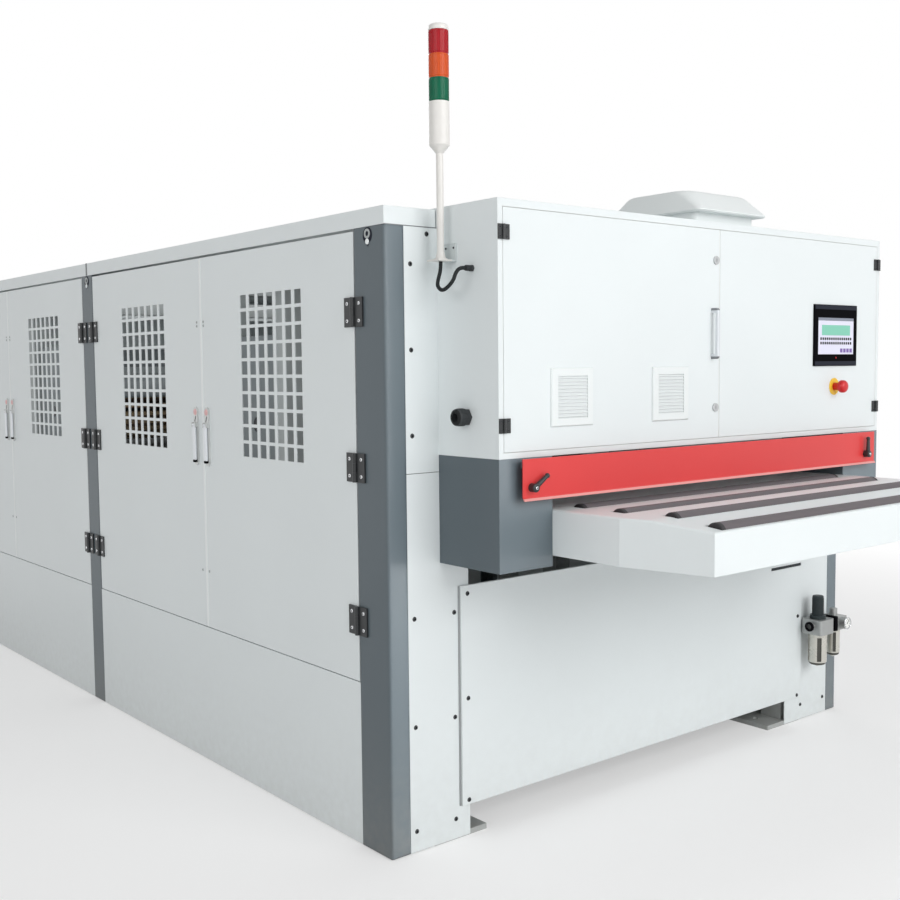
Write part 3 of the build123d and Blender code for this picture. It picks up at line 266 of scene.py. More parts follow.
def makeSurfaceGrain():
    group, given, result = nodeGroup("surfaceGrain", "ShaderNodeTree", [
        ("Paint", "Color", (0.8, 0.8, 0.8, 1)),
        ("Drift", "Float", 0.03),  # slow change of tone
        ("Grain", "Vector", (700, 700, 700)),
        ("Roughness", "Float", 0.4),
        ("Rough Drift", "Float", 0.08),
        ("Dust", "Float", 0.0),  # dust near the floor
    ], [("Color", "Color"), ("Roughness", "Float"), ("Height", "Float")])
    place = objectPlace(group)
    slow = noise(group, place, *grainNoise["slow"])
    patches = noise(group, place, *grainNoise["patches"])
    fine = noise(group, vectorNode(group, "MULTIPLY", place, given["Grain"])[0], *grainNoise["fine"])

    def swing(value, label):  # up and down about zero
        return times(group, mathNode(group, "SUBTRACT", value, 0.5), given[label])

    drift = swing(slow, "Drift")
    tone = plus(group, drift, drift, swing(fine, "Drift"), 1.0)
    scaled = addNode(group, "ShaderNodeVectorMath", {0: given["Paint"], "Scale": tone}, operation="SCALE")
    nearFloor = remap(group, separated(group, place)["Z"], 0.0, dustFilm["height"], 1.0, 0.0)
    dusty = times(group, nearFloor, nearFloor, patches, given["Dust"])
    plug(group, result["Color"], mixColor(group, dusty, scaled.outputs[0], rgb(*dustFilm["paint"])))
    plug(group, result["Roughness"], plus(group, swing(patches, "Rough Drift"), given["Roughness"]))
    plug(group, result["Height"], fine)
    return group


# edges get a lighter paint: partly worn paint, partly a painted highlight along the edges
wearAndSheenLook = {
    "samples": 4,
    "turn": (0.99, 0.75, 0.0, 1.0),  # cosine on the flat and at the edge, wear and painted highlight there
    "chips": (90.0, 3.0),  # scale, detail
    "flakes": (0.35, 0.65, 0.25, 1.0),
    "lighter": (1.12, 8),  # paint times and plus, where no worn and lit paint is given
}


# lighter paint on the edges, partly wear and partly painted highlight
def makeEdgeWearAndSheen():
    group, given, result = nodeGroup("edgeWearAndSheen", "ShaderNodeTree", [
        ("Color", "Color", (0.8, 0.8, 0.8, 1)),
        ("Worn And Lit Color", "Color", (0.9, 0.9, 0.9, 1)),
        ("Radius", "Float", 0.0015),
        ("Wear And Sheen", "Float", 0.3),
    ], [("Color", "Color"), ("Normal", "Vector")])
    bevel = addNode(group, "ShaderNodeBevel", {"Radius": given["Radius"]}, samples=wearAndSheenLook["samples"])
    rounded = bevel.outputs[0]
    flat = addNode(group, "ShaderNodeNewGeometry").outputs["Normal"]
    turning = remap(group, vectorNode(group, "DOT_PRODUCT", rounded, flat)["Value"], *wearAndSheenLook["turn"])
    flakes = remap(group, noise(group, objectPlace(group), *wearAndSheenLook["chips"]), *wearAndSheenLook["flakes"])
    edge = times(group, turning, flakes, given["Wear And Sheen"])
    plug(group, result["Color"], mixColor(group, edge, given["Color"], given["Worn And Lit Color"]))
    plug(group, result["Normal"], rounded)
    return group


surfaceGrain = makeSurfaceGrain()
edgeWearAndSheen = makeEdgeWearAndSheen()


def finish(name, paint, rough, metal=0.0, grain=700, bump=0.06, drift=0.03, dust=0.0,
           wearAndSheen=0.3, wornAndLit=None, edge=1.2, plain=None):
    material = bpy.data.materials.new(name)
    material.use_nodes = True
    tree = material.node_tree
    shader = tree.nodes["Principled BSDF"]
    surface = addNode(tree, "ShaderNodeGroup", {
        "Paint": rgb(*paint), "Drift": drift, "Roughness": rough, "Dust": dust,
        "Grain": grain if isinstance(grain, tuple) else (grain, grain, grain),
    }, node_tree=surfaceGrain).outputs
    # the edge paint is the paint made lighter: wear and painted highlight
    factor, steps = wearAndSheenLook["lighter"]
    lighter = wornAndLit or [min(255, value * factor + steps) for value in paint]
    rim = addNode(tree, "ShaderNodeGroup", {
        "Color": surface["Color"], "Worn And Lit Color": rgb(*lighter), "Radius": edge * mm, "Wear And Sheen": wearAndSheen,
    }, node_tree=edgeWearAndSheen).outputs
    relief = addNode(tree, "ShaderNodeBump", {
        "Strength": bump, "Distance": mm, "Height": surface["Height"], "Normal": rim["Normal"],
    })
    plug(tree, shader.inputs["Base Color"], rim["Color"])
    plug(tree, shader.inputs["Roughness"], surface["Roughness"])
    plug(tree, shader.inputs["Normal"], relief.outputs[0])
    for label, value in {"Metallic": metal, **(plain or {})}.items():
        shader.inputs[label].default_value = value
    return material


zoneDrift = {"Drift": 0.04, "Rough Drift": 0.06}


def zone(material, bands, paint, rough, metal):  # a second finish within all the bands
    tree = material.node_tree
    shader = tree.nodes["Principled BSDF"]
    along = separated(tree, objectPlace(tree))
    inside = []
    for axis, *ends in bands:
        low, high = (spot(end, end, end)[axis] for end in ends)
        inside.append(times(tree, mathNode(tree, "GREATER_THAN", along[axis], low),
                            mathNode(tree, "LESS_THAN", along[axis], high)))
    mask = times(tree, *inside)
    surface = addNode(tree, "ShaderNodeGroup", {
        "Paint": rgb(*paint), "Roughness": rough, **zoneDrift,
    }, node_tree=surfaceGrain).outputs
    changes = (("Base Color", mixColor, surface["Color"]), ("Roughness", mixValue, surface["Roughness"]),
               ("Metallic", mixValue, metal))
    for label, mix, value in changes:
        socket = shader.inputs[label]
        before = socket.links[0].from_socket if socket.links else socket.default_value
        plug(tree, socket, mix(tree, mask, before, value))


# Finishes of the machine

white = (227, 233, 234)
slate = (85, 96, 102)
silver = (196, 198, 199)
hingePaint = (38, 41, 43)
dull = {"Specular IOR Level": 0.01}
softGloss = {"Specular IOR Level": 0.22}
brushed = {"grain": (900, 900, 60), "bump": 0.04}
moulded = {"grain": 1500, "bump": 0.03}
trimLook = {"bump": 0.03, "wearAndSheen": 0.0}
fibre = {"drift": 0.16, "wearAndSheen": 0.0}

finishTable = {
    "machineWhite": dict(paint=white, rough=0.4, dust=0.25),
    "slateGrey": dict(paint=slate, rough=0.44, dust=0.35, wornAndLit=(150, 160, 166)),
    # on the posts the lighter edge paint spans the 10 mm rounded corners, a painted highlight along them
    "postGrey": dict(paint=slate, rough=0.38, dust=0.35, wornAndLit=(112, 124, 131), wearAndSheen=0.1, edge=10),
    "frameGrey": dict(paint=(176, 181, 181), rough=0.5, dust=0.5, drift=0.05),
    "carriageGrey": dict(paint=(132, 139, 142), rough=0.45, dust=0.2),
    "motorGrey": dict(paint=(108, 116, 122), rough=0.46, wornAndLit=(150, 156, 160)),
    "flapRed": dict(paint=(220, 62, 62), rough=0.36, wornAndLit=(240, 140, 140)),
    # metal
    "hingeBlack": dict(paint=hingePaint, rough=0.38, grain=1400, wornAndLit=(92, 95, 98)),
    "satinSteel": dict(paint=silver, rough=0.32, metal=0.9, wearAndSheen=0.5, **brushed),
    "handleSilver": dict(paint=(224, 228, 232), rough=0.3, metal=0.35, wearAndSheen=0.4, **brushed),
    "gripSilver": dict(paint=(216, 220, 224), rough=0.34, metal=0.2, wearAndSheen=0.4, **brushed),
    "brightSteel": dict(paint=(214, 216, 218), rough=0.22, metal=1.0, grain=(500, 1400, 1400), bump=0.03),
    "darkSteel": dict(paint=(70, 72, 75), rough=0.4, metal=0.8, wornAndLit=(150, 150, 152)),
    "gearPlate": dict(paint=(186, 189, 190), rough=0.36, metal=0.7),
    "castMetal": dict(paint=(168, 170, 169), rough=0.4, metal=0.6, grain=900, bump=0.1),
    "castBright": dict(paint=(206, 204, 196), rough=0.28, metal=0.85, grain=(900, 900, 120), bump=0.05),
    # plastic
    "fanWhite": dict(paint=(231, 236, 236), rough=0.48, grain=1800, bump=0.04, wearAndSheen=0.15),
    "towerWhite": dict(paint=(226, 224, 220), rough=0.38, grain=1600, bump=0.03),
    "mouldedBlack": dict(paint=(13, 13, 16), rough=0.5, grain=2200, wornAndLit=(50, 52, 54), plain=dull),
    "glandGrey": dict(paint=(58, 61, 63), rough=0.5, grain=2200, plain=softGloss),
    "knobGrey": dict(paint=(50, 58, 60), rough=0.45, grain=2200, plain=softGloss),
    "gearGrey": dict(paint=(120, 124, 126), rough=0.5, grain=1500),
    "stripGrey": dict(paint=(50, 52, 60), rough=0.55, grain=1800, bump=0.04, plain=dull),
    "signalRed": dict(paint=(205, 26, 30), rough=0.3, **moulded),
    "capRed": dict(paint=(222, 178, 178), rough=0.4, **moulded),
    "bowlSmoke": dict(paint=(70, 70, 64), rough=0.16, bump=0.02, wearAndSheen=0.2),
    "gaugeWhite": dict(paint=(240, 241, 238), rough=0.4, bump=0.02, wearAndSheen=0.0),
    # black for print, and for painted shade in screw sockets and duct slots
    "inkAndShadeBlack": dict(paint=(22, 22, 24), rough=0.55, bump=0.02, wearAndSheen=0.0, plain=dull),
    # rubber, seals and brushes
    "cableBlack": dict(paint=(52, 55, 56), rough=0.55, grain=1200, edge=0.4, plain=dull),
    "rollerRubber": dict(paint=(96, 90, 93), rough=0.62, grain=(260, 1600, 1600), bump=0.14, drift=0.08),
    "beltRubber": dict(paint=(52, 55, 54), rough=0.75, grain=420, bump=0.5, drift=0.1),
    # dark grey for the painted shade behind the slot in the lower front panel
    "slotShadeGrey": dict(paint=(70, 73, 76), rough=0.7, bump=0.1, wearAndSheen=0.0, plain=dull),
    "sealWhite": dict(paint=(226, 229, 227), rough=0.6, grain=900, **trimLook),
    # brighter than the door paint; on the door seams it is a painted highlight
    "seamWhite": dict(paint=(242, 246, 246), rough=0.5, **trimLook),
    # grey for the lines of painted shade beside the lower front panel
    "shadeLineGrey": dict(paint=(150, 154, 155), rough=0.6, **trimLook),
    "bristleTan": dict(paint=(170, 150, 118), rough=0.78, grain=(2600, 180, 180), bump=0.6, **fibre),
    "abrasiveBrown": dict(paint=(104, 82, 70), rough=0.9, grain=2600, bump=0.7, **fibre),
}
screenPaints = {
    "screenPaper": (214, 214, 230), "screenGrey": (122, 128, 142),
    "screenGreen": (120, 190, 168), "screenViolet": (112, 84, 158),
}
for screenName, screenPaint in screenPaints.items():
    glow = {"Emission Color": rgb(*screenPaint), "Emission Strength": 0.12}
    finishTable[screenName] = dict(paint=screenPaint, rough=0.3, bump=0, wearAndSheen=0, plain=glow)
lensPaints = {"greenLens": (8, 106, 76), "amberLens": (216, 92, 44), "redLens": (178, 32, 42)}
for lensName, lensPaint in lensPaints.items():
    finishTable[lensName] = dict(paint=lensPaint, rough=0.2, grain=(60, 60, 900), bump=0.05, drift=0.12,
                                 wearAndSheen=0.2, plain={"Specular IOR Level": 0.2})
finishes = {}


def coat(name):  # a shared finish, made when it is first used
    if name not in finishes:
        finishes[name] = finish(name, **finishTable[name])
    return finishes[name]


def coatNode(name, material):
    holder = nodes[name]
    if holder.material_slots:
        for place in holder.material_slots:
            place.material = material
    else:
        holder.data.materials.append(material)


nodeFinish = {
    "machineWhite": ["front_columns", "lower_front_panel", "roof_panels", "side_panels", "rear_panel",
                     "cabinet_shell", "infeed_table"],
    "slateGrey": ["infeed_blocks"],
    "postGrey": ["posts"],
    "frameGrey": ["base_frame", "conveyor_bed"],
    "hingeBlack": ["side_hinges", "cabinet_hinges", "clamp_lever_left", "clamp_lever_right"],
    "satinSteel": ["cabinet_lock_lower", "cabinet_lock_upper",
                   "door_handle_1", "door_handle_2", "door_handle_3", "door_handle_4"],
    "brightSteel": ["lift_spindles", "drive_roller", "idler_roller"],
    "fanWhite": ["roof_vent"],
    "mouldedBlack": ["hmi_housing", "hmi_screen"],
    "knobGrey": ["regulator_knob"],
    "signalRed": ["estop_button"],
    "towerWhite": ["tower_base"],
    "greenLens": ["tower_green_lens"],
    "amberLens": ["tower_amber_lens"],
    "redLens": ["tower_red_lens"],
    "cableBlack": ["tower_cable"],
    "beltRubber": ["conveyor_belt"],
    "carriageGrey": ["brush_carriage_front", "brush_carriage_rear"],
    "motorGrey": ["gearmotor", "brush_motor_front", "brush_motor_rear"],
    "bristleTan": ["brush_roller_front", "brush_roller_rear"],
    "castMetal": ["air_unit_body"],
    "bowlSmoke": ["air_unit_bowls"],
}


def coatPlainNodes():
    for finishName, members in nodeFinish.items():
        for member in members:
            coatNode(member, coat(finishName))


# Nodes with another finish in places

beyond = 10000  # past the machine on any side
outside = (0, -beyond, -0.5)  # hinge leaves and handle plates on the side doors
inFront = (1, -beyond, -233)  # what stands out from the cabinet doors
onPlate = (1, -beyond, 126.5)  # control gear and wiring ducts
ducts = [(2, 1070, 1120), (2, 1314.5, 1364.5), (2, 1559, 1609), (0, 215, 265), (0, 1756, 1806)]
zonePaints = {  # paint, roughness, metal
    "leaf": (hingePaint, 0.38, 0),
    "handlePlate": ((206, 208, 207), 0.35, 0.5),
    "stopCollar": ((246, 203, 56), 0.42, 0),
    # the flap's bent bottom lip in pale pink: a painted highlight where it catches the light
    "flapLip": ((232, 158, 154), 0.4, 0),
    "axle": (silver, 0.3, 0.9),
    "endCap": ((34, 33, 35), 0.6, 0),
    # greyer filter on the floor of the fan recess; on the backs of the slats in that band it is painted shade
    "fanRecess": ((222, 226, 227), 0.8, 0),
    # darker grey bands where the grip bends into its feet: painted shadow under the bends
    "gripFoot": ((128, 131, 134), 0.45, 0.3),
    # the bracket's machine paint made darker: a shaded copy of the machine white
    "poleBracket": ((204, 211, 212), 0.42, 0),
    # darker outer end of the power gland: painted shade standing in for its open hole
    "openGland": ((24, 26, 27), 0.6, 0),
    "device": ((74, 77, 80), 0.5, 0),
    "duct": ((188, 192, 193), 0.55, 0),
}
zonedNodes = {  # finish, then the paint of each zone with its bands: axis, low and high
    "cabinet_door_left": ("machineWhite", [("leaf", inFront)]),
    "cabinet_door_right": ("machineWhite", [("leaf", inFront), ("stopCollar", inFront, (0, 1565, 1629))]),
    "cabinet_handle": ("gripSilver", [("gripFoot", (2, 1269, 1276)), ("gripFoot", (2, 1406, 1413))]),
    # filter tone in the recess, painted shade on the slat backs there
    "filter_fans": ("fanWhite", [("fanRecess", (1, -236, -235))]),
    # the lowest band of the flap painted pale pink as a highlight
    "safety_flap": ("flapRed", [("flapLip", (2, -beyond, 931))]),
    "tower_pole": ("towerWhite", [("poleBracket", (0, 150, beyond))]),
    "cable_glands": ("glandGrey", [("openGland", (0, -beyond, 130))]),
    "mounting_plate": ("gearPlate", [("device", onPlate), *(("duct", onPlate, duct) for duct in ducts)]),
}
sideSeams = {"front": (979.75, 1, 2), "rear": (2777.25, 3, 4)}  # line between two doors, their numbers
plateReach = 90  # of the handle plates, to both sides of that line
for seamLine, *seamDoors in sideSeams.values():
    nearSeam = (1, seamLine - plateReach, seamLine + plateReach)
    for number in seamDoors:
        doorZones = [("leaf", outside), ("handlePlate", outside, nearSeam)]
        zonedNodes[f"side_door_{number}"] = ("machineWhite", doorZones)
tableRollers = {1: (407, 1593), 2: (407, 1593), 3: (437, 1563), 4: (433, 1567)}  # left and right end
axle = 14
for number, (left, right) in tableRollers.items():
    zonedNodes[f"infeed_roller_{number}"] = ("rollerRubber", [
        ("axle", (0, left, left + axle)), ("axle", (0, right - axle, right)),
        ("endCap", (0, left + axle, left + 2 * axle)), ("endCap", (0, right - 2 * axle, right - axle)),
    ])


def coatZonedNodes():
    for name, (base, zones) in zonedNodes.items():
        material = finish(f"{name}.{base}", **finishTable[base])
        for zonePaint, *bands in zones:
            zone(material, bands, *zonePaints[zonePaint])
        coatNode(name, material)


# Mesh helpers

def addBlock(bm, x, y, z, bevel=0, face=0, turn=None):  # from and to along each axis, millimetres
    low, high = (spot(*ends) for ends in zip(x, y, z))
    place = Matrix.Translation((low + high) / 2)
    if turn:
        place = place @ turn.to_4x4()
    made = bmesh.ops.create_cube(bm, size=1, matrix=place @ Matrix.Diagonal((*(high - low), 1)))["verts"]
    for side in {side for vert in made for side in vert.link_faces}:
        side.material_index = face
    if bevel:
        edges = list(dict.fromkeys(edge for vert in made for edge in vert.link_edges))
        bmesh.ops.bevel(bm, geom=edges, offset=bevel * mm, segments=2, profile=0.5, affect="EDGES",
                        material=-1)


def addRings(bm, rings, face=0, hollow=False):  # skin through rings of one count; a single point is a tip
    loops = [[bm.verts.new(point) for point in ring] for ring in rings]
    made = []
    following = loops[1:] + loops[:1] if hollow else loops[1:]
    for lower, upper in zip(loops, following):
        count = max(len(lower), len(upper))
        for step in range(count):
            beside = (step + 1) % count
            if len(lower) == 1:
                made.append(bm.faces.new((lower[0], upper[step], upper[beside])))
            elif len(upper) == 1:
                made.append(bm.faces.new((lower[step], lower[beside], upper[0])))
            else:
                made.append(bm.faces.new((lower[step], lower[beside], upper[beside], upper[step])))
    for loop in (loops[0], loops[-1]):
        if len(loop) > 2 and not hollow:
            made.append(bm.faces.new(loop))
    for side in made:
        side.material_index = face
    bmesh.ops.recalc_face_normals(bm, faces=made)


def addLathe(bm, profile, place, axis, steps=32, face=0, hollow=False):  # radius and distance along the axis
    turn = upwards.rotation_difference(axis).to_matrix()
    rings = []
    for radius, along in profile:
        ring = []
        for step in range(steps if radius else 1):
            angle = 2 * math.pi * step / steps
            point = turn @ Vector((radius * math.cos(angle), radius * math.sin(angle), along))
            ring.append(spot(*(Vector(place) + point)))
        rings.append(ring)
    addRings(bm, rings, face, hollow)


def arcRings(middle, radii, heights, angles, steps=8):  # upright wall bent round a middle, degrees
    (inner, outer), (low, high), (start, end) = radii, heights, angles
    rings = []
    for step in range(steps + 1):
        angle = math.radians(start + (end - start) * step / steps)
        corners = ((inner, low), (outer, low), (outer, high), (inner, high))
        rings.append([spot(middle[0] + radius * math.cos(angle), middle[1] + radius * math.sin(angle), z)
                      for radius, z in corners])
    return rings


def roundedRing(middle, width, depth, radius, z, steps=6):  # level ring
    ring = []
    for quarter, (sideX, sideY) in enumerate(((1, 1), (-1, 1), (-1, -1), (1, -1))):
        for step in range(steps + 1):
            angle = math.pi / 2 * (quarter + step / steps)
            x = middle[0] + sideX * (width / 2 - radius) + radius * math.cos(angle)
            y = middle[1] + sideY * (depth / 2 - radius) + radius * math.sin(angle)
            ring.append(spot(x, y, z))
    return ring


sharpAngle = 35  # degrees


def shape(name, coats, body, replaced=(), blocks=(), lathes=(), skins=()):
    bm = bmesh.new()
    for add, rows in ((addBlock, blocks), (addLathe, lathes), (addRings, skins)):
        for values in rows:
            add(bm, *values)
    mesh = bpy.data.meshes.new(name)
    bm.to_mesh(mesh)
    bm.free()
    for coatName in coats:
        mesh.materials.append(coat(coatName))
    mesh.shade_smooth()
    mesh.set_sharp_from_angle(angle=math.radians(sharpAngle))
    settle(addObject(name, mesh), body, replaced)


def settle(piece, body, replaced=()):
    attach(piece, body)
    if replaced:
        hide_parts(*replaced)


# Geometry Nodes trees

def geometryTree(name, inputs):
    socketShades = [("Geometry", "Geometry", None)] + inputs
    tree, given, result = nodeGroup(name, "GeometryNodeTree", socketShades, [("Geometry", "Geometry")])
    tree.is_modifier = True
    return tree, given, result


def realized(tree, copies, material):  # instances to plain mesh with a finish
    solid = addNode(tree, "GeometryNodeRealizeInstances", {"Geometry": copies})
    coated = addNode(tree, "GeometryNodeSetMaterial", {"Geometry": solid.outputs[0], "Material": material})
    return coated.outputs[0]


def instances(tree, points, model, rotation=None):
    values = {"Points": points, "Instance": model, "Rotation": rotation}
    return addNode(tree, "GeometryNodeInstanceOnPoints", values).outputs[0]


def turned(tree, angles):
    return addNode(tree, "FunctionNodeEulerToRotation", {"Euler": angles}).outputs[0]


def cube(tree, values):
    return addNode(tree, "GeometryNodeMeshCube", values).outputs["Mesh"]


def position(tree):
    return addNode(tree, "GeometryNodeInputPosition").outputs[0]


screwForm = {"headSides": 14, "socketSides": 6, "socketDepth": 0.3}
barPoints = {"Vertices X": 2, "Vertices Y": 5, "Vertices Z": 2}  # along, outwards and around


def makeScrewTree():
    tree, given, result = geometryTree("screwHeads", [
        ("Head Radius", "Float", 0.005),
        ("Crown Radius", "Float", 0.0038),
        ("Head Height", "Float", 0.003),
        ("Socket Radius", "Float", 0.0022),
        ("Facing", "Vector", (0, 0, 0)),
        ("Head Finish", "Material", None),
        ("Socket Shade Finish", "Material", None),
    ])
    head = addNode(tree, "GeometryNodeMeshCone", {
        "Vertices": screwForm["headSides"], "Depth": given["Head Height"],
        "Radius Top": given["Crown Radius"], "Radius Bottom": given["Head Radius"],
    })
    # a black disc on each head: painted shade standing in for the shaded socket recess
    recess = addNode(tree, "GeometryNodeMeshCylinder", {
        "Vertices": screwForm["socketSides"], "Radius": given["Socket Radius"],
        "Depth": screwForm["socketDepth"] * mm,
    })
    raised = addNode(tree, "GeometryNodeTransform", {
        "Geometry": recess.outputs["Mesh"], "Translation": combined(tree, z=given["Head Height"]),
    })
    facing = turned(tree, given["Facing"])
    heads = instances(tree, given["Geometry"], head.outputs["Mesh"], facing)
    socketShades = instances(tree, given["Geometry"], raised.outputs[0], facing)
    both = addNode(tree, "GeometryNodeJoinGeometry")
    plug(tree, both.inputs[0], realized(tree, heads, given["Head Finish"]))
    plug(tree, both.inputs[0], realized(tree, socketShades, given["Socket Shade Finish"]))
    plug(tree, result["Geometry"], both.outputs[0])
    return tree


def makeSlatTree():
    tree, given, result = geometryTree("slatRow", [
        ("Count", "Int", 8),
        ("Step", "Vector", (0.01, 0, 0)),
        ("Slat Size", "Vector", (0.1, 0.002, 0.008)),
        ("Finish", "Material", None),
    ])
    line = addNode(tree, "GeometryNodeMeshLine", {"Count": given["Count"], "Offset": given["Step"]})
    row = instances(tree, line.outputs[0], cube(tree, {"Size": given["Slat Size"]}))
    plug(tree, result["Geometry"], realized(tree, instances(tree, given["Geometry"], row), given["Finish"]))
    return tree


def makeRingTree():
    tree, given, result = geometryTree("ribRing", [
        ("Count", "Int", 24),
        ("Ring Radius", "Float", 0.02),
        ("Rib Size", "Vector", (0.002, 0.002, 0.02)),  # outwards, around, along the axis
        ("Facing", "Vector", (0, 0, 0)),
        ("Finish", "Material", None),
    ])
    values = {"Vertices": given["Count"], "Radius": given["Ring Radius"]}
    circle = addNode(tree, "GeometryNodeMeshCircle", values)
    outward = addNode(tree, "FunctionNodeAlignRotationToVector", {"Vector": position(tree)}, axis="X",
                      pivot_axis="Z")
    ring = instances(tree, circle.outputs[0], cube(tree, {"Size": given["Rib Size"]}), outward.outputs[0])
    rings = instances(tree, given["Geometry"], ring, turned(tree, given["Facing"]))
    plug(tree, result["Geometry"], realized(tree, rings, given["Finish"]))
    return tree


def makeStripTree():
    tree, given, result = geometryTree("brushStrips", [
        ("Strip Count", "Int", 24),
        ("Length", "Float", 1.3),
        ("Inner Radius", "Float", 0.09),
        ("Outer Radius", "Float", 0.14),
        ("Thickness", "Float", 0.007),
        ("Lean", "Float", 0.0),
        ("Start", "Float", 0.0),
        ("Finish", "Material", None),
    ])
    depth = mathNode(tree, "SUBTRACT", given["Outer Radius"], given["Inner Radius"])
    middle = times(tree, plus(tree, given["Outer Radius"], given["Inner Radius"]), 0.5)
    size = combined(tree, given["Length"], depth, given["Thickness"])
    bar = cube(tree, {"Size": size, **barPoints})
    # the bar is wrapped round the roller's axis and leans over towards its tip
    place = separated(tree, position(tree))
    radius = plus(tree, middle, place["Y"])
    width = mathNode(tree, "DIVIDE", place["Z"], middle)
    bend = times(tree, mathNode(tree, "DIVIDE", place["Y"], depth), given["Lean"])
    angle = plus(tree, width, plus(tree, bend, given["Start"]))
    across = times(tree, radius, mathNode(tree, "COSINE", angle))
    up = times(tree, radius, mathNode(tree, "SINE", angle))
    wrapped = combined(tree, place["X"], across, up)
    strip = addNode(tree, "GeometryNodeSetPosition", {"Geometry": bar, "Position": wrapped})
    hub = addNode(tree, "GeometryNodeMeshLine", {"Count": given["Strip Count"], "Offset": (0, 0, 0)})
    number = addNode(tree, "GeometryNodeInputIndex").outputs[0]
    turnStep = mathNode(tree, "DIVIDE", 2 * math.pi, given["Strip Count"])
    around = turned(tree, combined(tree, times(tree, number, turnStep)))
    wheel = instances(tree, hub.outputs[0], strip.outputs[0], around)
    plug(tree, result["Geometry"], realized(tree, instances(tree, given["Geometry"], wheel), given["Finish"]))
    return tree


screwTree = makeScrewTree()
slatTree = makeSlatTree()
ringTree = makeRingTree()
stripTree = makeStripTree()


def facingAngles(direction):
    return tuple(upwards.rotation_difference(direction).to_euler())


def grow(name, places, tree, values, body, replaced=()):
    mesh = bpy.data.meshes.new(name)
    mesh.from_pydata([tuple(spot(*place)) for place in places], [], [])
    piece = addObject(name, mesh)
    modifier = piece.modifiers.new(tree.name, "NODES")
    modifier.node_group = tree
    for socket in tree.interface.items_tree:
        if socket.in_out == "INPUT" and socket.name in values:
            modifier[socket.identifier] = values[socket.name]
    made = piece.evaluated_get(bpy.context.evaluated_depsgraph_get())
    piece.data = bpy.data.meshes.new_from_object(made)
    piece.data.name = name
    piece.modifiers.clear()
    settle(piece, body, replaced)


def ribs(name, place, ring, facing, coatName, body):
    count, radius, size = ring
    grow(name, [place], ringTree, {
        "Count": count, "Ring Radius": radius * mm, "Rib Size": [side * mm for side in size],
        "Facing": facingAngles(facing), "Finish": coat(coatName),
    }, body)


# Screws

screwKinds = {  # radius of head, crown and socket, height, finish, slot
    "panel": (6.5, 4.6, 2.6, 2.6, "hingeBlack", "hinge_black"),
    "hinge": (5.2, 4.0, 2.2, 1.8, "brightSteel", "lock_metal"),
    "small": (3.2, 2.4, 1.3, 1.2, "darkSteel", "lock_metal"),
    "rivet": (4.6, 3.2, 0.9, 1.6, "frameGrey", "lock_metal"),
    "lever": (4.8, 3.8, 2.0, 2.0, "brightSteel", "lock_metal"),
}


def screws(name, kind, facing, places, body="machine"):
    radius, crown, socket, height, head, slotName = screwKinds[kind]
    grow(name, places, screwTree, {
        "Head Radius": radius * mm, "Crown Radius": crown * mm, "Head Height": height * mm,
        "Socket Radius": socket * mm, "Facing": facingAngles(facing),
        "Head Finish": coat(head), "Socket Shade Finish": coat("inkAndShadeBlack"),
    }, body)


panelScrew = {
    "columns": [(x, 0, z) for x in (80, 1920) for z in (1511, 1297, 1081, 613, 331, 57)],
    "single": [(211, 0, 612), (211, 0, 332), (211, 0, 56), (133, 0, 1588), (1784, 0, 55)],
    "panel": [(250, -8.5, 658), (250, -8.5, 377), (250, -8.5, 101), (1750, -8.5, 377), (1750, -8.5, 97)],
    "rightFace": 2000,
    "rightLines": (153.5, 979.75, 1806, 1951, 2777.25, 3603.5),
    "rightHeights": (40, 400, 472, 1020, 1570),
    "rear": [(x, 3757, z) for x in (84, 1916) for z in (40, 420, 800, 1180, 1570)],
}


def panelScrews():
    front = panelScrew["columns"] + panelScrew["single"] + panelScrew["panel"]
    right = [(panelScrew["rightFace"], y, z)
             for y in panelScrew["rightLines"] for z in panelScrew["rightHeights"]]
    screws("frontScrews", "panel", toFront, front)
    screws("rightPanelScrews", "panel", toRight, right)
    screws("rearPanelScrews", "panel", toRear, panelScrew["rear"])


sideHinge = {
    "lines": {1: (131.0, 1), 2: (1828.5, -1), 3: (1928.5, 1), 4: (3626.0, -1)},  # pin, way to the door
    "face": -5, "out": 26,
    "heights": [z + up for z in (600, 998, 1395) for up in (-22, 22)],
}
cabinetHinge = {
    "lines": {"cabinet_left_leaf": (181.0, 1), "cabinet_right_leaf": (1841.0, -1)},
    "face": -236, "doorOut": 12.5, "caseOut": 11,
    "heights": [z + up for z in (1110, 1575) for up in (-11, 11)],
}


def hingeScrews():
    face, onPosts = sideHinge["face"], []
    for number, (line, towards) in sideHinge["lines"].items():
        out = towards * sideHinge["out"]
        onDoor = [(face, line + out, z) for z in sideHinge["heights"]]
        onPosts += [(face, line - out, z) for z in sideHinge["heights"]]
        screws(f"doorHingeScrews.{number}", "hinge", toLeft, onDoor, f"door_{number}")
    screws("postHingeScrews", "hinge", toLeft, onPosts)
    face, onCase = cabinetHinge["face"], []
    for leaf, (line, towards) in cabinetHinge["lines"].items():
        onDoor = [(line + towards * cabinetHinge["doorOut"], face, z) for z in cabinetHinge["heights"]]
        onCase += [(line - towards * cabinetHinge["caseOut"], face, z) for z in cabinetHinge["heights"]]
        screws(f"leafScrews.{leaf}", "small", toFront, onDoor, leaf)
    screws("caseHingeScrews", "small", toFront, onCase)


clampHub = {"left": (249, -277.3, 957.5), "right": (1744, -277.3, 957.5)}


def clampScrews():
    for side, hub in clampHub.items():
        screws(f"clampScrew.{side}", "lever", toFront, [hub], f"{side}_clamp")


# Operator panel with a plain picture

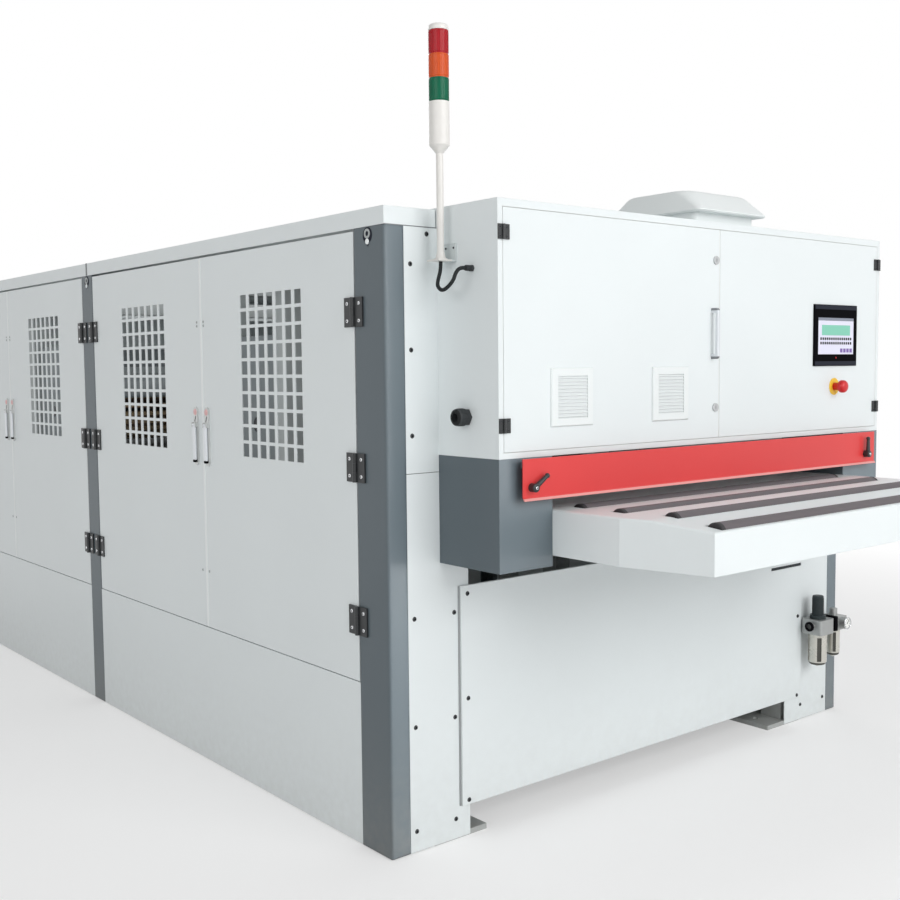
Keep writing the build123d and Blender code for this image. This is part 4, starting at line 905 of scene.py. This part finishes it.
operatorPanel = {
    "screen": (1498, 1697, 1282, 1397),  # left, right, low and high
    "glass": -238.0, "layer": 0.08, "rowLayer": 2, "sunk": 0.1,
    "strips": [((1480.5, 1714.5), (-239.1, -238.4), z, 0.25) for z in ((1423, 1436), (1247, 1260))],
    "light": ((0, 1.4), (1.4, 1.1), (2.4, 0.4), (2.6, -0.2), (0, -0.2)),
    "lightPlace": (1597.5, -238.5, 1271), "lightSteps": 20,
}
screenBlocks = [  # finish, then left, right, low and high as shares of the screen, layer
    ("screenPaper", 0.0, 1.0, 0.0, 1.0, 1),
    ("screenGrey", 0.0, 1.0, 0.92, 1.0, 2),
    ("screenGreen", 0.1, 0.9, 0.52, 0.8, 2),
]
screenRows = [  # finish, first start, width, pitch, count, low and high
    ("inkAndShadeBlack", 0.06, 0.04, 0.06, 15, 0.39, 0.46),
    ("inkAndShadeBlack", 0.06, 0.04, 0.06, 15, 0.27, 0.34),
    ("screenViolet", 0.62, 0.07, 0.09, 4, 0.05, 0.16),
]


def makeOperatorPanel():
    left, right, low, high = operatorPanel["screen"]
    glass = operatorPanel["glass"]
    picture = list(screenBlocks)
    for name, first, wide, pitch, count, bottom, top in screenRows:
        starts = [first + pitch * step for step in range(count)]
        layer = operatorPanel["rowLayer"]
        picture += [(name, start, start + wide, bottom, top, layer) for start in starts]
    names = ["screenPaper", "screenGrey", "screenGreen", "screenViolet", "inkAndShadeBlack"]
    blocks = []
    for name, start, end, bottom, top, layer in picture:
        x = [left + share * (right - left) for share in (start, end)]
        z = [low + share * (high - low) for share in (bottom, top)]
        y = (glass - operatorPanel["layer"] * layer, glass + operatorPanel["sunk"])
        blocks.append((x, y, z, 0, names.index(name)))
    shape("screenPicture", names, "cabinet_right_leaf", blocks=blocks)
    light = (operatorPanel["light"], operatorPanel["lightPlace"], toFront, operatorPanel["lightSteps"], 1)
    shape("panelStrips", ["stripGrey", "signalRed"], "cabinet_right_leaf",
          blocks=operatorPanel["strips"], lathes=[light])


# Emergency stop

stopButton = {
    "place": (1597, -232.5, 1180), "headSteps": 40,
    "head": ((0, 46), (7, 45.7), (12.4, 44.5), (16.6, 41.8), (19.2, 37.8), (20, 33), (20, 27), (19.2, 25),
             (17.6, 24), (0, 24)),
    "stem": ((0, 24.2), (15, 24.2), (12, 16), (12, -40), (0, -40)),
}


def makeStopButton():
    place = stopButton["place"]
    head = (stopButton["head"], place, toFront, stopButton["headSteps"])
    stem = (stopButton["stem"], place, toFront)
    shape("stopMushroom", ["signalRed"], "emergency_stop", ["estop_button"],
          lathes=[head, stem])


# Swing handles on the side doors, with the lock above them

swingHandle = {
    "lines": {1: 942.75, 2: 1016.75, 3: 2740.25, 4: 2814.25},
    "axis": -10.2, "pivot": 1080, "width": 19, "eyeSteps": 24,
    "eye": ((2.8, 0), (3.8, 0), (3.8, 19), (2.8, 19)),
    "bar": ((5.6, 17, 2.4, 968.8), (7.6, 19, 3.0, 970), (7.6, 19, 3.0, 1066), (6.4, 19, 2.6, 1074),
            (6.0, 19, 2.4, 1076.6)),  # depth, width, corner, height
    "tip": ((4.6, 14, 2.0, 961), (6.8, 17.6, 2.8, 962.2), (7.6, 19, 3.0, 964.5), (7.6, 19, 3.0, 968.4)),
}
lockCap = {
    "profile": ((0, 3.2), (5, 2.9), (8.4, 2), (10, 0.7), (10.4, -0.3), (0, -0.3)),
    "face": -6, "height": 1120, "steps": 28, "bevel": 0.2,
    # the dark leaning bar under each cap is a painted shadow between the lock cap and the lever
    "shadowBarX": (-6.7, -5.8), "shadowBarZ": (1089, 1108), "shadowBarHalf": 1.8, "lean": 24,
}


def makeSwingHandles():
    axis, half = swingHandle["axis"], lockCap["shadowBarHalf"]
    lean = Matrix.Rotation(math.radians(lockCap["lean"]), 3, "X")
    for number, line in swingHandle["lines"].items():
        skins = [([roundedRing((axis, line), *section) for section in swingHandle[part]], face)
                 for face, part in enumerate(("bar", "tip"))]
        eyeEnd = (axis, line - swingHandle["width"] / 2, swingHandle["pivot"])
        eye = (swingHandle["eye"], eyeEnd, toRear, swingHandle["eyeSteps"], 0, True)
        shape(f"swingHandle.{number}", ["handleSilver", "mouldedBlack"], f"lever_{number}",
              [f"door_handle_{number}"], lathes=[eye], skins=skins)
        cap = (lockCap["profile"], (lockCap["face"], line, lockCap["height"]), toLeft, lockCap["steps"])
        shadowBarY = (line - half, line + half)
        # dark bar under the cap: a painted shadow
        shadowBar = (lockCap["shadowBarX"], shadowBarY, lockCap["shadowBarZ"], lockCap["bevel"], 1, lean)
        shape(f"lockCap.{number}", ["capRed", "darkSteel"], f"door_{number}",
              blocks=[shadowBar], lathes=[cap])


# Trim: door seams, locks on the posts, strips and seals

seamTrim = {
    "rivetOut": 22, "rivets": (1401, 1389, 618),
    # the outer strip is painted brighter than the doors, a painted highlight along the seam; the inner one is
    # the seal
    "strips": (((1.5, 16), -2.1, 0.2), ((-1.0, 0.3), -11, 0.3)),  # depth, start from the line, bevel
    "end": 0.4, "heights": (441, 1596),
}


def makeDoorSeams():
    for name, (line, first, second) in sideSeams.items():
        for number, side in ((first, -1), (second, 1)):
            rivets = [(0, line + side * seamTrim["rivetOut"], z) for z in seamTrim["rivets"]]
            screws(f"seamRivets.{number}", "rivet", toLeft, rivets, f"door_{number}")
        strips = [(depth, (line + start, line + seamTrim["end"]), seamTrim["heights"], bevel, face)
                  for face, (depth, start, bevel) in enumerate(seamTrim["strips"])]
        shape(f"seamSealAndHighlight.{name}", ["sealWhite", "seamWhite"], f"door_{first}", blocks=strips)


postLock = {
    "lines": (69, 1878.5),
    "slotX": (1.0, 2.4), "slotZ": (1557, 1573), "slotHalf": 2.7, "bevel": 0.2,
    "round": (  # rosette, ring and stud: height, profile, steps, finish, whether it is hollow
        (1583, ((0, 1.2), (18.6, 1.2), (20, 0.4), (20, -0.2), (0, -0.2)), 40, 2, False),
        (1587, ((6.4, 1.0), (12.2, 1.0), (12.2, 2.2), (11.2, 2.9), (7.4, 2.9), (6.4, 2.2)), 32, 1, True),
        (1567.5, ((0, 3.4), (5.4, 3.2), (7.2, 2.4), (7.6, 1.0), (0, 1.0)), 24, 0, False),
    ),
}


def makePostLocks():
    half, blocks, lathes = postLock["slotHalf"], [], []
    for y in postLock["lines"]:
        blocks.append((postLock["slotX"], (y - half, y + half), postLock["slotZ"], postLock["bevel"], 2))
        lathes += [(profile, (0, y, z), toLeft, *rest) for z, profile, *rest in postLock["round"]]
    shape("keyholePlugs", ["seamWhite", "frameGrey", "stripGrey"], "machine",
          blocks=blocks, lathes=lathes)


sealY = (-232.3, -229.4)
trim = {  # finish, body, slot, then x, y, z and bevel of each block
    "leafSeal": ("sealWhite", "cabinet_left_leaf", "panel_paint", [
        ((1008.9, 1012.4), (-232.3, -216), (1046, 1633), 0.2)]),
    "caseSeal": ("sealWhite", "machine", "panel_paint", [
        ((179.9, 181.2), sealY, (1043, 1636)), ((1840.8, 1842.1), sealY, (1043, 1636)),
        ((180, 1842), sealY, (1042.9, 1044.2)), ((180, 1842), sealY, (1634.8, 1636.1))]),
    # dark strip behind the slot in the lower front panel: painted shade for the dark inside of the slot
    "slotShadeStrip": ("slotShadeGrey", "machine", "belt_rubber", [((1590, 1768), (-5.5, -2.0), (549, 567), 0.5)]),
    # grey lines of painted shade between the lower front panel and the columns, where the panel's side lies
    # in shadow
    "panelShadeLines": ("shadeLineGrey", "machine", "panel_paint", [
        (x, (-3, 0.4), (88.6, 680), 0.3) for x in ((223.4, 228.2), (1771.8, 1776.6))]),
    # between the roof cap and the front columns a grey strip of painted shade, the shadow line under the cap;
    # then strips over the joint of the two caps
    "roofShadeAndJointStrips": ("gearGrey", "machine", "panel_paint", [
        ((0, 165), (-0.5, 1.0), (1603.7, 1606.1), 0.2), ((1856, 2000), (-0.5, 1.0), (1603.7, 1606.1), 0.2),
        ((-0.8, 0.4), (1872.5, 1884.5), (1606.1, 1650), 0.2),
        ((1999.6, 2000.8), (1872.5, 1884.5), (1606.1, 1650), 0.2),
        ((-0.8, 2000.8), (1872.5, 1884.5), (1649.8, 1650.8), 0.2)]),
}


def makeTrim():
    for name, (coatName, body, slotName, blocks) in trim.items():
        shape(name, [coatName], body, blocks=blocks)


# Signal tower and cable glands

signalTower = {
    "axis": (132, -57), "steps": 48,
    "feet": {"green": 1903, "amber": 1960, "red": 2017},
    "lens": ((0, 0), (23.4, 0), (23.4, 2.4), (25, 3.2), (25, 4), (24.3, 4.2), (24.3, 53.6), (25, 53.8),
             (25, 55.6), (24, 56.6), (23.4, 57), (0, 57)),
    "middle": 28.5, "ribs": (36, 24.4, (1.2, 1.7, 49)),  # count, radius, size
    "bracketScrews": [(161, -72, 1549), (161, -42, 1549)],
}
glandRibs = {
    "small": ((150, -139, 1494), (14, 6.7, (1.1, 1.3, 11))),
    "power": ((145, -112, 1129), (24, 21.3, (1.8, 2.6, 15))),
}


def makeTower():
    axis = signalTower["axis"]
    for color, foot in signalTower["feet"].items():
        lens, slotName = f"{color}Lens", f"{color}_lens"
        shape(f"towerLens.{color}", [lens], "machine", [f"tower_{color}_lens"],
              lathes=[(signalTower["lens"], (*axis, foot), upwards, signalTower["steps"])])
        middle = (*axis, foot + signalTower["middle"])
        ribs(f"lensRibs.{color}", middle, signalTower["ribs"], upwards, lens, "machine")
    screws("bracketScrews", "small", toLeft, signalTower["bracketScrews"])
    for name, (place, ring) in glandRibs.items():
        ribs(f"glandRibs.{name}", place, ring, toLeft, "glandGrey", "machine")


# Roof ventilator: neck, folded rim and rounded hood

roofVent = {
    "middle": (1115, -26), "size": (320, 358),
    "sections": (  # inset in x and y, corner, height
        (22, 33, 18, 1647.5), (22, 33, 18, 1690), (3, 3, 17, 1690), (3, 3, 17, 1692.2),
        (0.6, 0.6, 18, 1692.2), (0, 0, 18, 1692.8), (0, 0, 18, 1696), (1, 3, 19, 1699), (6, 32, 31, 1727),
        (9.4, 51, 39, 1746), (11.6, 59, 42, 1752.4), (16, 67, 43, 1755.4), (22, 74, 42, 1756),
    ),
}


def makeRoofVent():
    width, depth = roofVent["size"]
    rings = [roundedRing(roofVent["middle"], width - 2 * x, depth - 2 * y, radius, z)
             for x, y, radius, z in roofVent["sections"]]
    shape("roofVentHood", ["fanWhite"], "machine", ["roof_vent"], skins=[(rings,)])


# Air service unit

gauge = {
    "place": (1904, -107, 345), "bezelSteps": 40, "dialSteps": 32,
    "bezel": ((17.8, -0.4), (21.6, -0.4), (21.6, 1.6), (20.6, 2.4), (18.8, 2.4), (17.8, 1.2)),
    "dial": ((0, -0.6), (17.8, -0.6), (17.8, -1.6), (0, -1.6)),
    "tick": ((0, 0.5, 14.2), (0.6, 0.3, 1.9)),  # middle from the dial's centre, half size
    "tickAngles": [-135 + 33.75 * step for step in range(9)],
    "needle": ((0, 0.2, 4.5), (0.8, 0.3, 8)), "needleAngle": 40,
}


def makeGauge():
    place, blocks = gauge["place"], []
    marks = [(angle, *gauge["tick"]) for angle in gauge["tickAngles"]]
    marks.append((gauge["needleAngle"], *gauge["needle"]))
    for angle, offset, half in marks:
        turn = Matrix.Rotation(math.radians(angle), 3, "Y")
        middle = Vector(place) + turn @ Vector(offset)
        ranges = [(value - reach, value + reach) for value, reach in zip(middle, half)]
        blocks.append((*ranges, 0, 2, turn))
    bezel = (gauge["bezel"], place, toFront, gauge["bezelSteps"], 0, True)
    dial = (gauge["dial"], place, toFront, gauge["dialSteps"], 1)
    shape("gaugeFace", ["brightSteel", "gaugeWhite", "inkAndShadeBlack"], "machine", blocks=blocks,
          lathes=[bezel, dial])


bowlGuard = {
    "bowls": ((1809, -50, 30, 206, 316), (1904, -50, 22, 224, 320)),  # x, y, radius, low, high
    "wall": (-0.6, 1.6), "foot": 14, "head": -12,
    "middles": (0, 90, 180, 270), "half": 31,  # of the guards, degrees to both sides
    "steps": 40, "drainSteps": 20,
    "collar": ((-0.6, -12.2), (1.6, -12.2), (2.6, -10), (2.6, -1), (-0.6, -1)),
    "hem": ((-0.6, 9), (1.2, 10), (1.6, 14.2), (-0.6, 14.2)),
    "drain": ((0, -6), (5, -6), (6.5, -4.6), (6.5, 0.5), (0, 0.5)),
}


def makeBowlGuards():
    half, lathes, skins = bowlGuard["half"], [], []
    for x, y, radius, low, high in bowlGuard["bowls"]:
        wall = [radius + out for out in bowlGuard["wall"]]
        heights = (low + bowlGuard["foot"], high + bowlGuard["head"])
        for middle in bowlGuard["middles"]:
            skins.append((arcRings((x, y), wall, heights, (middle - half, middle + half)),))
        for part, level in (("collar", high), ("hem", low)):
            profile = [(radius + out, up) for out, up in bowlGuard[part]]
            lathes.append((profile, (x, y, level), upwards, bowlGuard["steps"], 0, True))
        lathes.append((bowlGuard["drain"], (x, y, low), upwards, bowlGuard["drainSteps"]))
    shape("bowlGuards", ["castBright"], "machine", lathes=lathes, skins=skins)


airUnit = {
    "spacer": ((1850, 1868), (-93, -12), (321, 373), 2.5),  # between the two units
    "nutSides": 12,
    "outlet": ((12.1, 0), (15, 0.6), (15, 8.4), (13.4, 9.4), (12.1, 9.4)), "outletPlace": (1939.4, -50, 345),
    "inlet": ((9.4, 0), (17, 0), (17, 5), (15.6, 6.4), (9.4, 6.4)), "inletPlace": (1761, -50, 345),
    "knobPlace": (1809, -50, 412), "knobRibs": (30, 19, (1.4, 1.9, 56)),
}


def makeAirUnit():
    makeGauge()
    makeBowlGuards()
    nuts = [(airUnit[port], airUnit[port + "Place"], facing, airUnit["nutSides"], 0, True)
            for port, facing in (("outlet", toRight), ("inlet", toLeft))]
    shape("unitSpacer", ["mouldedBlack"], "machine", blocks=[airUnit["spacer"]], lathes=nuts)
    ribs("knobRibs", airUnit["knobPlace"], airUnit["knobRibs"], upwards, "knobGrey", "knob")


# Brush rollers: steel core, strips of bristle with abrasive in front of them

brushRoller = {
    "lines": {"front": 980, "rear": 2790}, "height": 1073, "left": 197, "middle": 1000,
    "core": ((0, 0), (24, 0), (25, 1), (25, 136), (88, 136), (90, 138), (90, 1468), (88, 1470), (25, 1470),
             (25, 1527), (24, 1528), (0, 1528)),
    "coreSteps": 40, "count": 22, "length": 1310, "foot": 89.5, "lean": 0.02,
    "strips": {  # finish, thickness, outer radius, angle ahead
        "bristle": ("bristleTan", 12, 139, -0.018),
        "abrasive": ("abrasiveBrown", 3.6, 140, 0.052),
    },
}


def makeBrushes():
    halfPitch = math.pi / brushRoller["count"]  # a strip stands straight up
    for name, line in brushRoller["lines"].items():
        body, node = f"{name}_brush", f"brush_roller_{name}"
        start = (brushRoller["left"], line, brushRoller["height"])
        shape(f"brushCore.{name}", ["darkSteel"], body, [node],
              lathes=[(brushRoller["core"], start, toRight, brushRoller["coreSteps"])])
        middle = (brushRoller["middle"], line, brushRoller["height"])
        for strip, (coatName, thick, outer, ahead) in brushRoller["strips"].items():
            grow(f"{strip}Strips.{name}", [middle], stripTree, {
                "Strip Count": brushRoller["count"], "Length": brushRoller["length"] * mm,
                "Inner Radius": brushRoller["foot"] * mm, "Outer Radius": outer * mm, "Thickness": thick * mm,
                "Lean": brushRoller["lean"], "Start": halfPitch + ahead, "Finish": coat(coatName),
            }, body, [node])


# Faces of the control gear, and slots of the wiring ducts as black strips of painted shade

gearRows = {  # first centre, count, step, size, finish
    "ductSlotShade.low": ((275, 66.9, 1095), 118, 12.5, (4, 0.5, 40), "inkAndShadeBlack"),
    "ductSlotShade.mid": ((275, 66.9, 1339.5), 118, 12.5, (4, 0.5, 40), "inkAndShadeBlack"),
    "ductSlotShade.top": ((275, 66.9, 1584), 118, 12.5, (4, 0.5, 40), "inkAndShadeBlack"),
    "driveDisplays": ((370, 41.5, 1250), 4, 180, (62, 2, 30), "screenGrey"),
    "driveKeys": ((370, 41.5, 1212), 4, 180, (62, 2, 22), "gearGrey"),
    "driveTerminals": ((370, 41.5, 1164), 4, 180, (120, 3, 14), "sealWhite"),
    "contactorHeads": ((1050, 51, 1195), 7, 100, (40, 4, 34), "sealWhite"),
    "contactorTerminals": ((1050, 51.5, 1230), 7, 100, (58, 2, 9), "brightSteel"),
    "breakerFaces": ((340, 56, 1442), 10, 120, (74, 3, 40), "sealWhite"),
    "breakerToggles": ((340, 52, 1446), 10, 120, (16, 8, 20), "mouldedBlack"),
}


def makeGearFaces():
    for name, (first, count, step, size, coatName) in gearRows.items():
        grow(name, [first], slatTree, {
            "Count": count, "Step": (step * mm, 0, 0), "Slat Size": [side * mm for side in size],
            "Finish": coat(coatName),
        }, "machine")


# Tower cable

towerCable = {
    "diameter": 9.5, "length": 193.6, "order": 3, "roundness": 5, "smoothness": 12,
    "route": ((132, -57, 1515), (132, -57, 1495), (118.5, -62, 1467.5), (112.5, -67, 1452),
              (111.5, -89, 1438), (110, -130.5, 1459), (114, -137.5, 1483), (127, -139, 1494),
              (143, -139, 1494)),
}


def makeTowerCable():
    diameter = towerCable["diameter"] * mm
    curve = bpy.data.curves.new("towerCable", "CURVE")
    curve.dimensions = "3D"
    curve.bevel_depth = diameter / 2
    curve.bevel_resolution = towerCable["roundness"]
    curve.resolution_u = towerCable["smoothness"]
    route = [spot(*point) for point in towerCable["route"]]
    spline = curve.splines.new("NURBS")
    spline.points.add(len(route) - 1)
    for point, place in zip(spline.points, route):
        point.co = (*place, 1)
    spline.order_u = towerCable["order"]
    spline.use_endpoint_u = True
    curve.materials.append(coat("cableBlack"))
    cable = addObject("towerCable", curve)
    settle(cable, "machine", ["tower_cable"])


makeCamera()
makeLights()
makeRoom()
print("camera, lights and floor")
coatPlainNodes()
coatZonedNodes()
print("finishes of the nodes")
makeTowerCable()
panelScrews()
hingeScrews()
clampScrews()
print("cable and screws")
makeOperatorPanel()
makeStopButton()
makeGearFaces()
print("cabinet")
makeSwingHandles()
makeDoorSeams()
makePostLocks()
makeTrim()
print("side doors and trim")
makeTower()
makeRoofVent()
makeAirUnit()
print("tower, vent and air unit")
makeBrushes()
print("brushes")

bpy.context.scene.view_settings.view_transform = "Standard"
